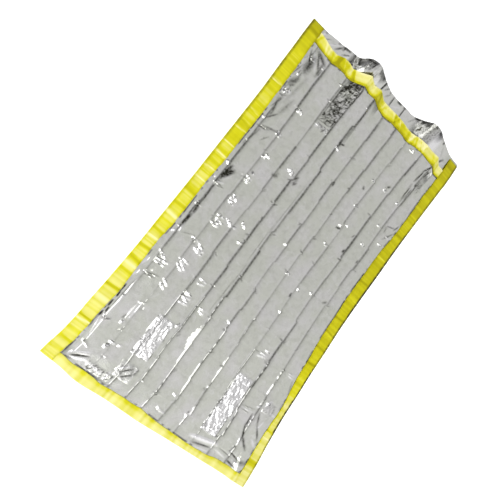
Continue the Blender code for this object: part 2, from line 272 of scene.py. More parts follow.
# Between two cross folds a long fold runs straight, and it jogs aside at each of them.
JOG = 0.0042
JOG_TURN = 0.0030
JOG_HALF = 0.0045
JOG_STARTS = rng.uniform(-JOG, JOG, (len(LATTICE_SHARES), len(LATTICE_ROWS) - 1))
JOG_ENDS = JOG_STARTS + rng.uniform(-JOG_TURN, JOG_TURN, JOG_STARTS.shape)
JOG_ROWS = np.stack((LATTICE_ROWS[:-1] + JOG_HALF, LATTICE_ROWS[1:] - JOG_HALF), axis=1).ravel()


def jog(share, row):
    """How far aside a point lies with the folds on both sides of it."""
    columns = np.zeros((len(LATTICE_SHARES),) + share.shape)
    for k in range(2, len(LATTICE_SHARES) - 2):
        columns[k] = np.interp(row, JOG_ROWS, np.stack((JOG_STARTS[k], JOG_ENDS[k]), axis=1).ravel())
    i, a = cell(LATTICE_SHARES, share)
    low = np.take_along_axis(columns, (i - 1)[None], axis=0)[0]
    high = np.take_along_axis(columns, i[None], axis=0)[0]
    return low * (1 - a) + high * a


RISE = crossings(CROSSING_RISE)
CROSS_STRENGTH = rng.uniform(-1.0, 1.0, (len(LATTICE_SHARES), len(CROSS_FOLDS)))

# How dark each long fold is at the mouth, in the middle and at the foot, in the order of LONG_FOLDS.
FOLD_PLACES = (0.75, 0.0, -0.75)
FOLD_SHARPNESS = (
    (0.4, 1.1, -0.1), (1.1, 0.55, 0.15), (0.7, 0.65, 0.6), (0.95, 0.85, 0.8), (1.15, 0.9, 0.8),
    (1.0, 0.6, 0.55), (0.9, 0.5, 0.5), (0.45, 0.5, 0.5), (0.85, 0.7, 0.85), (0.65, 0.65, 0.6),
)
BREAK_PLACES = -1 + 0.012 * np.arange(170)
BREAK_CHANCE = (0.35, 1.25)
SEGMENT_CHANCE = (0.65, 1.35)
BREAKS = rng.uniform(*BREAK_CHANCE, (len(LONG_FOLDS), len(BREAK_PLACES)))
SEGMENTS = rng.uniform(*SEGMENT_CHANCE, (len(LONG_FOLDS), len(LATTICE_ROWS)))

# A long fold is a low ridge with a gentle flank on its left and a steep drop on its right.
LEFT_FLANK = 0.0042
WHOLE_FLANK = 0.0085
WHOLE_SLOPE = 0.34
LEFT_SLOPE_PLACES = (-1.0, -0.45, -0.35, 0.2, 1.0)
LEFT_SLOPES = (0.46, 0.42, 0.24, 0.18, 0.16)
RIGHT_FLANK = 0.0030
# Painted along each fold: a line of shade on its crest, a broader shadow right of it, a highlight left of it.
FOLD_SHADE_MIDDLE = 0.0010
FOLD_SHADE_HALF_WIDTH = 0.0086
FOLD_SHADE_LEAST_WIDTH = 0.7
FOLD_SHADE_WIDER = 0.55
FOLD_SHADE_DEPTH = 0.84
SHADOW = 0.16
SHADOW_MIDDLE = 0.0080
SHADOW_HALF_WIDTH = 0.0140
PALE = 0.80
PALE_MIDDLE = 0.0062
PALE_HALF_WIDTH = 0.0052

# Where a fold's left flank has another width: from which y to which and the width at each, in millimetres,
# and the fold's number.
WIDE_FLANKS = (
    (450, -1000, 1, 1, 0), (200, -1000, 1, 1, 1), (0, -430, 2, 2, 2), (-430, -790, 5, 5, 2),
    (-200, -720, 2, 2, 3), (-720, -870, 4, 4, 3), (-470, -520, 3, 18, 4), (-520, -570, 18, 30, 4),
    (-570, -620, 30, 12, 4), (-620, -700, 10, 5, 4), (-700, -890, 5, 3.5, 4), (-420, -580, 4, 6, 5),
    (-600, -660, 4, 11, 5), (-660, -720, 11, 10, 5), (-720, -810, 10, 3, 5), (-810, -1000, 1, 1, 5),
    (-400, -530, 2, 1, 6), (-530, -600, 4, 12, 6), (-600, -650, 12, 3, 6), (-650, -700, 3, 10, 6),
    (-700, -770, 1, 1, 6), (-770, -830, 3, 14, 6), (-830, -860, 14, 4, 6), (-860, -900, 5, 4, 6),
    (-900, -1000, 1, 1, 6), (-400, -1000, 2, 3, 7), (-450, -640, 7, 9, 9),
)


def flank_width(k, row):
    """The left flank's width along a fold."""
    width = np.full_like(row, LEFT_FLANK)
    for y_from, y_to, width_from, width_to, fold in in_metres(WIDE_FLANKS, 4):
        if fold == k:
            part = ramp(row, y_from, y_to)
            inside = (part > 0) & (part < 1)
            width = np.where(inside, width_from + part * (width_to - width_from), width)
    return width


def long_folds(share, row):
    """(height, painted shade, painted highlight) of the long folds, at a point's place in the flat grid."""
    height, painted_shade, pale = np.zeros((3, *share.shape))
    segment = np.clip(np.searchsorted(LATTICE_ROWS, row) - 1, 0, len(LATTICE_ROWS) - 2)
    slope = np.interp(row, LEFT_SLOPE_PLACES, LEFT_SLOPES)
    for k, fold in enumerate(LONG_FOLDS):
        off = (share - fold) * BAG_WIDTH
        sharpness = np.interp(row, FOLD_PLACES[::-1], FOLD_SHARPNESS[k][::-1])
        sharpness = sharpness * SEGMENTS[k][segment]
        left = flank_width(k, row)
        crest = np.where(off < 0, tent(off, left), tent(off, RIGHT_FLANK))
        broken = np.interp(row, BREAK_PLACES, BREAKS[k])
        whole = left > WHOLE_FLANK
        height += crest * left * np.where(whole, np.minimum(slope, WHOLE_SLOPE), slope * broken)
        sharpness = np.clip(sharpness, 0, 1)
        half_width = FOLD_SHADE_HALF_WIDTH * (FOLD_SHADE_LEAST_WIDTH + FOLD_SHADE_WIDER * sharpness)
        painted_shade = np.maximum(painted_shade, FOLD_SHADE_DEPTH * sharpness * tent(off - FOLD_SHADE_MIDDLE, half_width))
        painted_shade = np.maximum(painted_shade, SHADOW * sharpness * tent(off - SHADOW_MIDDLE, SHADOW_HALF_WIDTH))
        pale = np.maximum(pale, PALE * broken * sharpness * tent(off + PALE_MIDDLE, PALE_HALF_WIDTH))
    return height, painted_shade, pale


def cross_folds(share, row):
    height = np.zeros_like(share)
    strip = np.clip(np.searchsorted(LATTICE_SHARES, share) - 1, 0, len(LATTICE_SHARES) - 2)
    for j, fold in enumerate(CROSS_FOLDS):
        height += CROSS_RISE * tent(row - fold, CROSS_HALF_WIDTH) * CROSS_STRENGTH[:, j][strip]
    return height


def crease_shape(x, y, middle, angle, length, half_width, left_width=None):
    """A straight crease: a crest of 1 that falls to its sides and ends. Its left may have another width."""
    dx, dy = x - middle[0], y - middle[1]
    along = dx * np.cos(angle) + dy * np.sin(angle)
    off = dy * np.cos(angle) - dx * np.sin(angle)
    fade = np.clip(1 - (2 * along / length) ** 2, 0, 1)
    return fade * np.where(off > 0, tent(off, left_width or half_width), tent(off, half_width))


def small_crease(x, y, middle, angle, length, half_width):
    """(which points are near a small crease, its shape at them)"""
    reach = length / 2 + half_width
    near = (np.abs(x - middle[0]) < reach) & (np.abs(y - middle[1]) < reach)
    return near, crease_shape(x[near], y[near], middle, angle, length, half_width)


# Single creases of the upper film, given one by one. Each is x, y, length, half width and rise in
# millimetres, its turn in degrees from +X, and its shade: above 0 darkens it and below 0 pales it.
# A shade above 0 is painted shade along the crease, and below 0 a painted highlight.
CREASES = (
    (-422, 780, 120, 8, -3, -66, 1.1), (-408, 755, 130, 28, -1.2, -88, 0.95),
    (-380, 822, 100, 13, -1.2, -30, 1.05), (-419, 646, 70, 20, -1.2, 62, 0.85),
    (-414, 485, 130, 11, -1.2, -79, 0.95), (-361, 387, 80, 8, -1.2, 14, 0.75),
    (-63, 572, 40, 11, -1, 100, 1.4), (-219, 231, 40, 15, -1, 20, 0.9), (-131, 287, 45, 11, -1, 60, 0.9),
    (-398, 786, 130, 8, 1.6, -55, -1.2), (-385, 800, 140, 6.5, -2, -57, 1.2),
    (-357, 775, 110, 11, -3, -85, 0.9), (-342, 760, 170, 8, 2, -87, -0.7),
    (-418, 622, 45, 13, -3, 40, 0.6), (-415, 583, 55, 12, 8, 12, -1.5), (-451, 766, 60, 5, 2, -65, -0.9),
    (-413, 667, 100, 10, -3, 90, 0.6), (-440, 700, 120, 6, -2, 78, 0.6), (-456, 746, 25, 6, -1, 90, 1.4),
    (-418, 510, 90, 6, 2, 76, 0.9), (-400, 435, 90, 6.5, 2, 56, 1.0), (-372, 510, 150, 16, -1, 79, 0.35),
    (-427, 628, 70, 16, -1, 62, 0.5), (-442, 590, 60, 8, -1, 50, 0.6), (-412, 300, 130, 8, 1, 80, 0.9),
    (-400, 366, 60, 7, -1, 8, 1.1), (-218, 236, 50, 12, -1, 60, 0.6), (-126, 271, 50, 10, -1, 70, 0.6),
    (-392, 374, 60, 6, 3, 2, 0.9), (-384, 620, 200, 14, -3, 84, 0.3), (-372, 520, 120, 6, -2, 80, 0.5),
    (-360, 330, 60, 5, 3, 60, 0.5), (-400, 94, 105, 13, -2, 84, 1.7), (-390, 94, 84, 17, -1, 62, 1.5),
    (-382, 100, 30, 10, -1, 30, 0.8), (-388, 29, 45, 4.5, 2, -10, 0.9), (-383, 23, 45, 4.5, 2, 14, 0.7),
    (-395, 40, 60, 8, 4, 18, -0.8), (-404, -40, 110, 6, 1, -88, 1.2), (-404, -110, 80, 10, 1, -84, 1.5),
    (-407, -180, 90, 11, 1, 86, 1.6), (-362, -227, 80, 4.5, 2, 22, 0.4), (-380, -456, 80, 5, 2, 16, 0.9),
    (-385, -467, 60, 5, 2, 10, 0.9), (-424, -256, 50, 7, 5, 40, -1.2), (-402, -223, 45, 7, 5, 100, -1.2),
    (-430, 47, 35, 8, 8, 15, -1.5), (-424, 138, 35, 8, 8, -20, -1.5), (-431, -425, 60, 8, 6, 75, -1.5),
    (-431, -489, 50, 8, 6, 65, -1.5), (-410, -600, 220, 4.5, 0.9, -91, -1.0),
    (-418, -600, 200, 4.5, -1, -93, 0.8), (-430, -735, 110, 5, 0.8, -78, -1.3),
    (-449, -810, 80, 6, 0.8, -80, -0.9), (-432, -560, 30, 5.5, -1, 90, 1.6),
    (-431, -600, 32, 5.5, -1, 92, 1.6), (-434, -645, 38, 6, -1, 88, 1.6),
    (-428, -676, 35, 5, -1, 92, 1.4), (-438, -700, 34, 6, -1, 86, 1.6), (-443, -748, 40, 5, -1, 95, 1.4),
    (-458, -868, 120, 14, -1, 100, 0.5), (-333, -614, 95, 5.5, 2.2, 86, -1.4),
    (-344, -618, 80, 6, 2, 86, -0.6), (-355, -655, 30, 7, -2, 70, 0.8), (-349, -680, 30, 7, 5, 60, -1.2),
    (-404, -866, 100, 5.5, 1, 30, -1.5), (-396, -879, 90, 6, -1, 28, 1.6),
    (-400, -893, 85, 6, 1.2, 24, -1.5), (-436, -888, 35, 6, 1.8, 60, -1.5),
    (-440, -912, 60, 6, -1, 10, 0.9), (-300, -915, 160, 5, -1, -2, 0.6),
    (-318, -887, 100, 12, 0.6, -2, -1.0), (-262, -884, 60, 8, 1.2, 80, -1.2),
    (-211, -826, 80, 6, -2, 44, 1.2), (-200, -846, 100, 7, -2, 42, 1.0),
    (-224, -818, 70, 7, 2.8, 38, -1.4), (-178, -824, 60, 6, -2, 68, 0.8),
    (361, -708, 80, 7, -2, -85, 1.2), (372, -760, 90, 7.5, -2, -67, 1.3),
    (404, -800, 80, 7, -2, -44, 1.3), (397, -682, 70, 6, -2, -65, 1.0), (428, -731, 85, 6, -2, -54, 1.1),
    (376, -800, 50, 6, 3, -78, -1.0), (377, -841, 50, 6, -2, 80, 0.8), (443, -633, 45, 7, 4, 0, -1.6),
    (398, -596, 35, 9, 4, 60, -1.6), (421, -701, 55, 6, 3, 80, -1.3), (439, -778, 45, 8, 4, -40, -1.5),
    (447, -875, 90, 16, -1, 20, 0.7), (365, -634, 30, 7, 4, 50, -1.3), (312, -685, 65, 4, 2, 3, 0.5),
    (320, -664, 80, 4, 2, 12, 0.5), (325, -674, 70, 5, 2, 8, -0.9), (360, -877, 100, 5, -1, -6, 0.6),
    (404, -868, 90, 6.5, -2, -14, 1.2), (410, -904, 80, 6, -2, -12, 1.2),
    (352, -893, 110, 6, 2, -10, -0.7), (424, -888, 60, 6, 2, -12, -0.9), (466, -905, 40, 5, -1, 50, 0.9),
    (240, -880, 150, 13, 4.8, 13, -2.5), (243, -906, 110, 7, -2, 14, 1.0),
    (254, -921, 85, 6, 1, 11, -1.6), (446, -500, 110, 6, -1, -70, 0.5), (112, 126, 30, 8, -1, 35, 0.75),
    (-143, 34, 34, 8, -1, 110, 1.0), (269, 176, 26, 8, -1, 75, 1.25), (-148, -60, 38, 8, -1, 20, 0.75),
    (-121, 264, 30, 8, -1, 60, 1.0), (179, -151, 28, 8, -1, 95, 1.25), (340, -77, 32, 8, -1, 40, 0.75),
    (166, 487, 26, 8, -1, 120, 1.0), (179, 246, 34, 8, -1, 15, 1.25), (359, 181, 30, 8, -1, 80, 0.75),
    (271, 581, 28, 8, -1, 50, 1.0), (30, 397, 36, 8, -1, 100, 1.25), (109, 433, 26, 8, -1, 30, 0.75),
    (453, 540, 140, 7, -1, 91, 1.3), (434, 205, 220, 6.5, -1, 87, 1.2), (405, 432, 60, 6, -1, 20, 0.7),
    (432, 448, 50, 6, -1, 70, 0.8), (418, 385, 80, 6, -1, 60, 0.7), (386, 405, 50, 6, -1, 100, 0.6),
    (378, 790, 80, 6, 1, 66, 1.3), (365, 730, 90, 5.5, 1, 82, 1.4), (392, 768, 80, 5.5, 1, 68, 1.1),
    (361, 620, 130, 5, 1, 92, 1.2), (373, 620, 90, 5, 1, 91, 0.9), (-54, 705, 320, 6.5, -2, 91, 0.9),
    (-50, 575, 30, 8, -3, 20, 1.3), (-58, 542, 40, 7, 5, -30, -1.6), (-190, 850, 90, 13, -2, 32, 1.2),
    (-218, 708, 250, 5, -1, 90, 1.2), (-138, 780, 170, 5.5, -1, 88, 1.2), (-180, 590, 90, 5, -1, 5, 0.9),
    (-186, 565, 90, 6, 1.4, 8, -1.0), (-208, 556, 30, 7, 2, 60, -1.4), (-168, 556, 30, 7, 1.2, 70, 1.0),
    (-78, 80, 560, 4, -1, 89, 0.5), (-78, -300, 300, 4, -1, 88, 0.5),
)

# The lower film's creases, between the upper film's tape and its own free edge, given in the same way.
# As above, a shade above 0 is painted shade and below 0 a painted highlight.
FLAP_CREASES = (
    (-470, 944, 30, 9, 2, 75, 1.5), (-447, 930, 40, 7, 2, 60, -1.2), (-420, 925, 60, 6, 2, 40, 0.4),
    (-375, 930, 80, 8, 3, 40, -0.6), (-345, 935, 60, 8, 3, 50, 0.9), (-322, 955, 40, 7, 2, 72, 1.3),
    (-300, 930, 50, 6, 3, 30, 0.8), (-280, 945, 70, 10, 3, 60, -0.4), (-228, 905, 80, 24, 0.5, 70, 1.0),
    (-205, 972, 60, 7, 1, 20, 1.2), (-240, 955, 50, 7, 1, 60, 1.0), (-215, 962, 50, 6, 1, 10, 1.2),
    (-205, 945, 70, 6, 1, 65, -0.6), (-188, 945, 80, 8, 1, 75, 1.0), (-168, 955, 50, 6, 1, 70, 1.2),
    (-150, 940, 60, 6, 1, 80, -0.4), (-130, 945, 60, 6, 1, 85, 0.8), (-62, 945, 80, 6, 2, 88, 1.4),
    (-38, 955, 50, 6, 2, 60, 0.5), (-10, 945, 50, 6, 2, 60, 0.5), (25, 940, 80, 5.5, 2, 90, 1.2),
    (60, 935, 60, 6, 2, 35, -0.6), (103, 935, 90, 5.5, 2, 88, 1.2), (170, 945, 50, 6, 2, 60, 0.5),
    (225, 962, 40, 6, 1, 60, 0.9), (245, 958, 40, 6, 1, 80, 1.1), (278, 962, 30, 6, 1, 70, 1.1),
    (330, 935, 120, 32, 1, 100, -1.3), (300, 935, 120, 32, 1, 80, -0.6),
    (262, 938, 100, 16, 0.5, 75, 0.9), (222, 925, 60, 14, 0.5, 70, 1.2), (400, 930, 60, 8, 2, 120, 0.2),
    (425, 895, 50, 8, 2, 60, 1.0),
)


def placed_creases(x, y, creases):
    """(height, painted shade, painted highlight) of the creases in such a table."""
    height, painted_shade, pale = np.zeros((3, *x.shape))
    for middle_x, middle_y, length, half_width, rise, turn, shade in in_metres(creases, 5):
        shape = crease_shape(x, y, (middle_x, middle_y), np.radians(turn), length, half_width)
        height += rise * shape
        painted_shade = np.maximum(painted_shade, shade * shape)
        pale = np.maximum(pale, -shade * shape)
    return height, painted_shade, pale


# Groups of short creases that catch the light: x, y, pitch along Y and length in millimetres, how many
# there are, and their turn in degrees.
# Each stroke is also painted pale, a painted highlight.
STROKES = (
    (-300, 15, 14, 40, 3, -20), (-291, -101, 15, 56, 4, -12), (-284, -247, 15, 54, 3, -22),
    (-378, -378, 16, 62, 3, -8), (-296, -342, 14, 50, 4, -12), (-193, -41, 10, 50, 1, -24),
    (-254, -70, 10, 36, 1, -24), (-224, -82, 10, 34, 1, 0), (-164, -111, 10, 36, 1, -10),
    (-328, -227, 10, 36, 1, -5), (-300, 132, 14, 40, 2, -20), (-303, 272, 14, 36, 2, -10),
    (-319, 396, 12, 34, 2, -10), (-313, 545, 12, 34, 1, -20), (-169, 300, 14, 34, 2, -10),
    (-196, -452, 14, 56, 4, -14), (-312, -457, 15, 40, 2, -10), (-110, -450, 15, 34, 2, -5),
    (-183, -355, 14, 44, 2, 0), (-337, -788, 14, 26, 2, 40), (-326, -762, 14, 30, 1, 15),
    (-289, -757, 14, 20, 1, 60), (236, -444, 14, 60, 2, 5), (254, -418, 10, 34, 1, 0),
    (408, -440, 14, 36, 2, 10), (-150, -560, 12, 34, 1, 40), (12, -877, 12, 26, 1, 10),
    (19, 19, 12, 21, 1, -4), (262, 560, 12, 27, 1, -16), (366, 553, 12, 17, 1, -4),
    (28, -420, 12, 27, 1, -10), (14, -795, 12, 26, 1, -22), (190, -238, 12, 19, 1, -22),
    (445, -200, 12, 26, 1, -10), (-10, -874, 12, 25, 1, -10), (183, 264, 12, 22, 1, -4),
    (202, 279, 12, 22, 1, -22), (115, -80, 12, 28, 1, -22), (265, -80, 12, 22, 1, -10),
    (195, -109, 12, 22, 1, -28), (182, 147, 12, 24, 1, -4), (189, 553, 12, 20, 1, -22),
    (340, 394, 12, 22, 1, -28), (335, 263, 12, 29, 1, -22), (415, 377, 12, 28, 1, -22),
    (408, 325, 12, 23, 1, -16), (183, 389, 12, 25, 1, -22), (-428, 574, 12, 24, 1, -22),
    (-309, 547, 12, 29, 1, -22), (-318, 398, 12, 23, 1, -10), (-305, 167, 12, 24, 1, -16),
    (-160, 294, 12, 22, 1, -22), (-416, 584, 12, 29, 1, -16), (-432, 412, 12, 23, 1, -4),
    (-301, 133, 12, 26, 1, -4), (262, 808, 12, 25, 1, -16),
)
STROKE_SCATTER = (0.008, 0.004)
STROKE_TURNS = 26
STROKE_SIZES = (0.75, 1.2)
STROKE_FLANK = 0.0090
STROKE_LEFT_FLANK = 0.0045
STROKE_RISE_PLACES = (-0.9, -0.4, 0.0, 0.6)
STROKE_RISES = (0.0042, 0.0062, 0.0085, 0.0115)


def strokes(x, y):
    """(height, pale) of the groups of strokes."""
    height, pale = np.zeros((2, *x.shape))
    for middle_x, middle_y, pitch, length, count, turn in in_metres(STROKES, 4):
        for k in range(count):
            spot = np.array((middle_x, middle_y + (k - (count - 1) / 2) * pitch))
            spot += rng.uniform(-1, 1, 2) * STROKE_SCATTER
            angle = np.radians(turn + rng.uniform(-STROKE_TURNS, STROKE_TURNS))
            size = length * rng.uniform(*STROKE_SIZES)
            shape = crease_shape(x, y, spot, angle, size, STROKE_FLANK, STROKE_LEFT_FLANK)
            height += np.interp(middle_y, STROKE_RISE_PLACES, STROKE_RISES) * shape
            pale = np.maximum(pale, shape)
    return height, pale


# Crinkled places, full of short ridges: x from and to, y from and to, and rise in millimetres, the ridges'
# turn in degrees, its spread in radians, and how dark and how pale the place is.
# The dark is painted shade along the ridges, and the pale a painted highlight over the place.
PATCHES = (
    (-247, -164, -755, -560, 6, 97, 0.35, 0.2, 0.8), (194, 277, -850, -560, 6.6, 106, 0.3, 0.25, 0.9),
    (-357, -236, -912, -872, 0.7, 80, 0.9, 1.3, 0.1), (-220, -138, 590, 850, 0.7, 60, 1.5, 1.6, 0.0),
    (-217, -141, 780, 850, 0.4, 80, 1.0, 1.8, 0.0), (-216, -135, 548, 578, 2, 125, 0.6, 0.9, 0.4),
    (-250, -170, -870, -790, 1.8, 60, 0.8, 0.6, 0.4), (385, 450, -645, -590, 3, 100, 0.8, 0.5, 0.3),
    (372, 412, 655, 715, 0.9, 60, 0.8, 1.4, 0.0),
)
PATCH_EDGE = 0.005
DULL_PATCH_CRINKLE = 0.45
LEAST_RIDGES = 3
RIDGES_PER_AREA = 7500
RIDGE_LENGTHS = (0.025, 0.070)
RIDGE_SIZES = (0.6, 1.1)
RIDGE_DARKNESS = (0.2, 1.0)
RIDGE_LEFT_FLANK = 0.0130
RIDGE_RIGHT_FLANK = 0.0045


def patches(x, y):
    """(height, crinkle, painted shade, painted highlight) of the crinkled places."""
    height, crinkle, painted_shade, pale = np.zeros((4, *x.shape))
    for x_from, x_to, y_from, y_to, rise, turn, turn_spread, dark, light in in_metres(PATCHES, 5):
        depth = np.minimum(np.minimum(x - x_from, x_to - x), np.minimum(y - y_from, y_to - y))
        inside = ramp(depth, 0.0, PATCH_EDGE)
        near = inside > 0
        near_x, near_y = x[near], y[near]
        local, marks = np.zeros((2, *near_x.shape))
        for _ in range(int(LEAST_RIDGES + RIDGES_PER_AREA * (x_to - x_from) * (y_to - y_from))):
            middle = rng.uniform((x_from, y_from), (x_to, y_to))
            angle = np.radians(turn) + rng.uniform(-turn_spread, turn_spread)
            length, size = rng.uniform(*RIDGE_LENGTHS), rng.uniform(*RIDGE_SIZES)
            left, right = size * RIDGE_LEFT_FLANK, size * RIDGE_RIGHT_FLANK
            shape = crease_shape(near_x, near_y, middle, angle, length, right, left)
            local = np.maximum(local, size * rise * shape)
            mark = crease_shape(near_x, near_y, middle, angle, length, right)
            marks = np.maximum(marks, mark * dark * rng.uniform(*RIDGE_DARKNESS))
        height[near] += local * inside[near]
        painted_shade[near] = np.maximum(painted_shade[near], marks * inside[near])
        pale[near] = np.maximum(pale[near], light * inside[near])
        crinkle = np.maximum(crinkle, inside * min(1.0, DULL_PATCH_CRINKLE + light))
    return height, crinkle, painted_shade, pale


# Small marks of painted shade where the folds cross, and beside the left seam: chance, length, half width,
# rise and darkness.
LEFT_MARKS = (0.70, 0.036, 0.0058, 0.0028, 0.9)
OTHER_MARKS = (0.80, 0.032, 0.0052, 0.0016, 1.0)
LEFT_MARKS_TO = -0.20
MARKS_AT_EACH = 2
SEAM_MARKS = LEFT_SEAM + 0.012
MARK_SCATTER = 0.012
MARK_ANGLES = (-0.7, 1.2)
MARK_SIZES = (0.5, 1.2)


def crossing_marks(x, y, share, row):
    """(height, painted shade) of the small marks."""
    height, painted_shade = np.zeros((2, *x.shape))
    for place in (SEAM_MARKS,) + LONG_FOLDS:
        for fold in CROSS_FOLDS:
            at = np.argmin(np.abs(share - place) * BAG_WIDTH + np.abs(row - fold))
            middle = np.array((x.flat[at], y.flat[at]))
            kind = LEFT_MARKS if middle[0] < LEFT_MARKS_TO else OTHER_MARKS
            chance, length, half_width, rise, mark_darkness = kind
            for _ in range(MARKS_AT_EACH):
                spot = middle + rng.uniform(-MARK_SCATTER, MARK_SCATTER, 2)
                angle = rng.uniform(*MARK_ANGLES)
                size, sign, dark = rng.uniform(*MARK_SIZES), rng.choice((-1, 1)), rng.uniform(0, 1)
                if rng.uniform() > chance:
                    continue
                near, shape = small_crease(x, y, spot, angle, size * length, half_width)
                height[near] += sign * size * rise * shape
                # Painted shade along the mark.
                painted_shade[near] = np.maximum(painted_shade[near], mark_darkness * dark**2 * shape)
    return height, painted_shade


# Faint creases all over the film: how many, their length, half width and rise.
SOFT_CRINKLES = (
    (150, 0.130, 0.0400, 0.0008),
    (220, 0.060, 0.0140, 0.0004),
)
CRINKLED_HALF = np.array((0.53, 0.97))
CRINKLE_SIZES = (0.6, 1.4)


def soft_crinkles(x, y):
    height = np.zeros_like(x)
    for count, length, half_width, rise in SOFT_CRINKLES:
        for _ in range(count):
            middle = rng.uniform(-CRINKLED_HALF, CRINKLED_HALF)
            angle = rng.uniform(0, np.pi)
            size = rng.uniform(*CRINKLE_SIZES)
            sign = rng.choice((-1, 1))
            near, shape = small_crease(x, y, middle, angle, size * length, half_width)
            height[near] += sign * size * rise * shape
    return height


def lines_between(stops, step, before, after):
    """Sorted places from the first stop to the last: the stops, some before and after each, and filling."""
    places = [stops[0]]
    for low, high in zip(stops, stops[1:]):
        start, end = low + after[-1], high - before[-1]
        inner = np.linspace(start, end, max(1, round((end - start) / step)) + 1)
        places += [low + gap for gap in after[:-1]] + list(inner)
        places += [high - gap for gap in before[:-1]][::-1] + [high]
    return np.array(places)


def new_mesh(name, x, y, z, finish):
    """A mesh object from a grid of points."""
    index = np.arange(x.size).reshape(x.shape)
    corners = index[:-1, :-1], index[:-1, 1:], index[1:, 1:], index[1:, :-1]
    faces = np.stack(corners, axis=-1).reshape(-1, 4)
    mesh = bpy.data.meshes.new(name)
    mesh.from_pydata(np.stack((x, y, z), axis=-1).reshape(-1, 3), [], faces)
    mesh.shade_smooth()
    mesh.materials.append(finish)
    obj = bpy.data.objects.new(name, mesh)
    bpy.context.scene.collection.objects.link(obj)
    return obj


def paint(obj, name, values):
    """Keeps a value for each point, which the piece's material reads by that name."""
    attribute = obj.data.attributes.new(name, "FLOAT", "POINT")
    attribute.data.foreach_set("value", np.ascontiguousarray(values, dtype=np.float32).ravel())


def dress(obj, node):
    """Makes the piece stand for its CAD node."""
    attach(obj, "root")
    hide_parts(node)


def fold_over(obj, node):
    """Gives a tape its thickness, and dresses it."""
    modifier = obj.modifiers.new("thicken", "SOLIDIFY")
    modifier.thickness = TAPE_SKIN
    modifier.offset = 0.0
    dress(obj, node)


SHARP_FROM = 0.20
FILM_STEP_X = 0.0058
FRONT_STEP_Y = 0.0051
BACK_STEP_Y = 0.0150

# The films' grid is closer at each fold: it has lines so far before the fold, and so far after it.
BEFORE_FOLD = (0.0022, 0.0044, 0.0080)
AFTER_FOLD = (0.0015, 0.0030, 0.0052)
CROSS_SIDES = (0.0045,)


def film_mesh(name, x, y, z, painted_shade, crinkle, pale, finish):
    obj = new_mesh(name, x, y, z, finish)
    obj.data.set_sharp_from_angle(angle=SHARP_FROM)
    # The painted shade, where the crinkled bump is, and the paler film, mostly painted highlight.
    paint(obj, "painted_shade", np.clip(painted_shade, 0, 1))
    paint(obj, "crinkle", crinkle)
    paint(obj, "pale", np.clip(pale, 0, 1))
    return obj


def film_shares():
    before = tuple(side / BAG_WIDTH for side in BEFORE_FOLD)
    after = tuple(side / BAG_WIDTH for side in AFTER_FOLD)
    return lines_between(LATTICE_SHARES, FILM_STEP_X / BAG_WIDTH, before, after)


def between_edges(share, y):
    """x at a share of the film's own width, which stops a little short of the outline."""
    left, right = across(0.0, y) + FILM_INSET, across(1.0, y) - FILM_INSET
    return left + share * (right - left)


def film_place(share, row, mouth_edge):
    """x and y of a point of a film's grid, whose end rows follow the foot and the mouth."""
    y = row + lattice_value(SHIFT_Y, share, row)
    foot_edge = FOOT.curve("y", share) + FILM_INSET
    foot_part = ramp(row, LATTICE_ROWS[1], LATTICE_ROWS[0])
    mouth_part = ramp(row, LATTICE_ROWS[-2], LATTICE_ROWS[-1])
    y = y + foot_part * (foot_edge - LATTICE_ROWS[0]) + mouth_part * (mouth_edge - LATTICE_ROWS[-1])
    return between_edges(share, y) + jog(share, row), y


# Dashes of painted shadow on the film along the tapes' inner edges: how dark, and how much of the
# edge they take.
EDGES = (
    ("left", 1.0, 0.4), ("right", 0.9, 0.5), ("foot", 1.0, 0.55), ("mouth", 0.8, 0.55),
)
DASH_PITCHES = (0.065, 0.011)
DASH_PARTS = (0.6, 0.4)
DASH_REACH = 1.1
DASH_FROM = 0.72
DASH_FULL = 0.80
DASH_MIDDLE = 0.0030
DASH_HALF_WIDTH = 0.0050


def shadow_dashes(x, y, share):
    distances = {
        "left": (x - across(0.0, y) - SIDE_TAPE_TOPS.curve("left", y), y),
        "right": (across(1.0, y) - SIDE_TAPE_TOPS.curve("right", y) - x, y),
        "foot": (y - FOOT.curve("y", share) - FOOT.curve("top", share), x),
        "mouth": (upper_tape_y(share) - y, x),
    }
    painted_shade = np.zeros_like(x)
    for edge, darkness, coverage in EDGES:
        distance, along = distances[edge]
        chance = np.zeros_like(along)
        for pitch, part in zip(DASH_PITCHES, DASH_PARTS):
            chance += part * uneven(along, np.arange(-DASH_REACH, DASH_REACH, pitch), 0, 1)
        strength = ramp(chance, DASH_FROM - coverage / 2, DASH_FULL - coverage / 2)
        # Painted shadow beside the tape's edge.
        painted_shade = np.maximum(painted_shade, darkness * strength * tent(distance - DASH_MIDDLE, DASH_HALF_WIDTH))
    return painted_shade


RELIEF_FADES_BEFORE = 0.030
RELIEF_GONE_BEFORE = 0.004


def relief_room(y, share):
    """How much of the creases' height there is room for: none in the seams, nor under the mouth tape."""
    seam = np.maximum(in_side_seam(share), in_foot_seam(y, share))
    inner = upper_tape_y(share)
    return (1 - seam) * (1 - eased(ramp(y, inner - RELIEF_FADES_BEFORE, inner - RELIEF_GONE_BEFORE)))


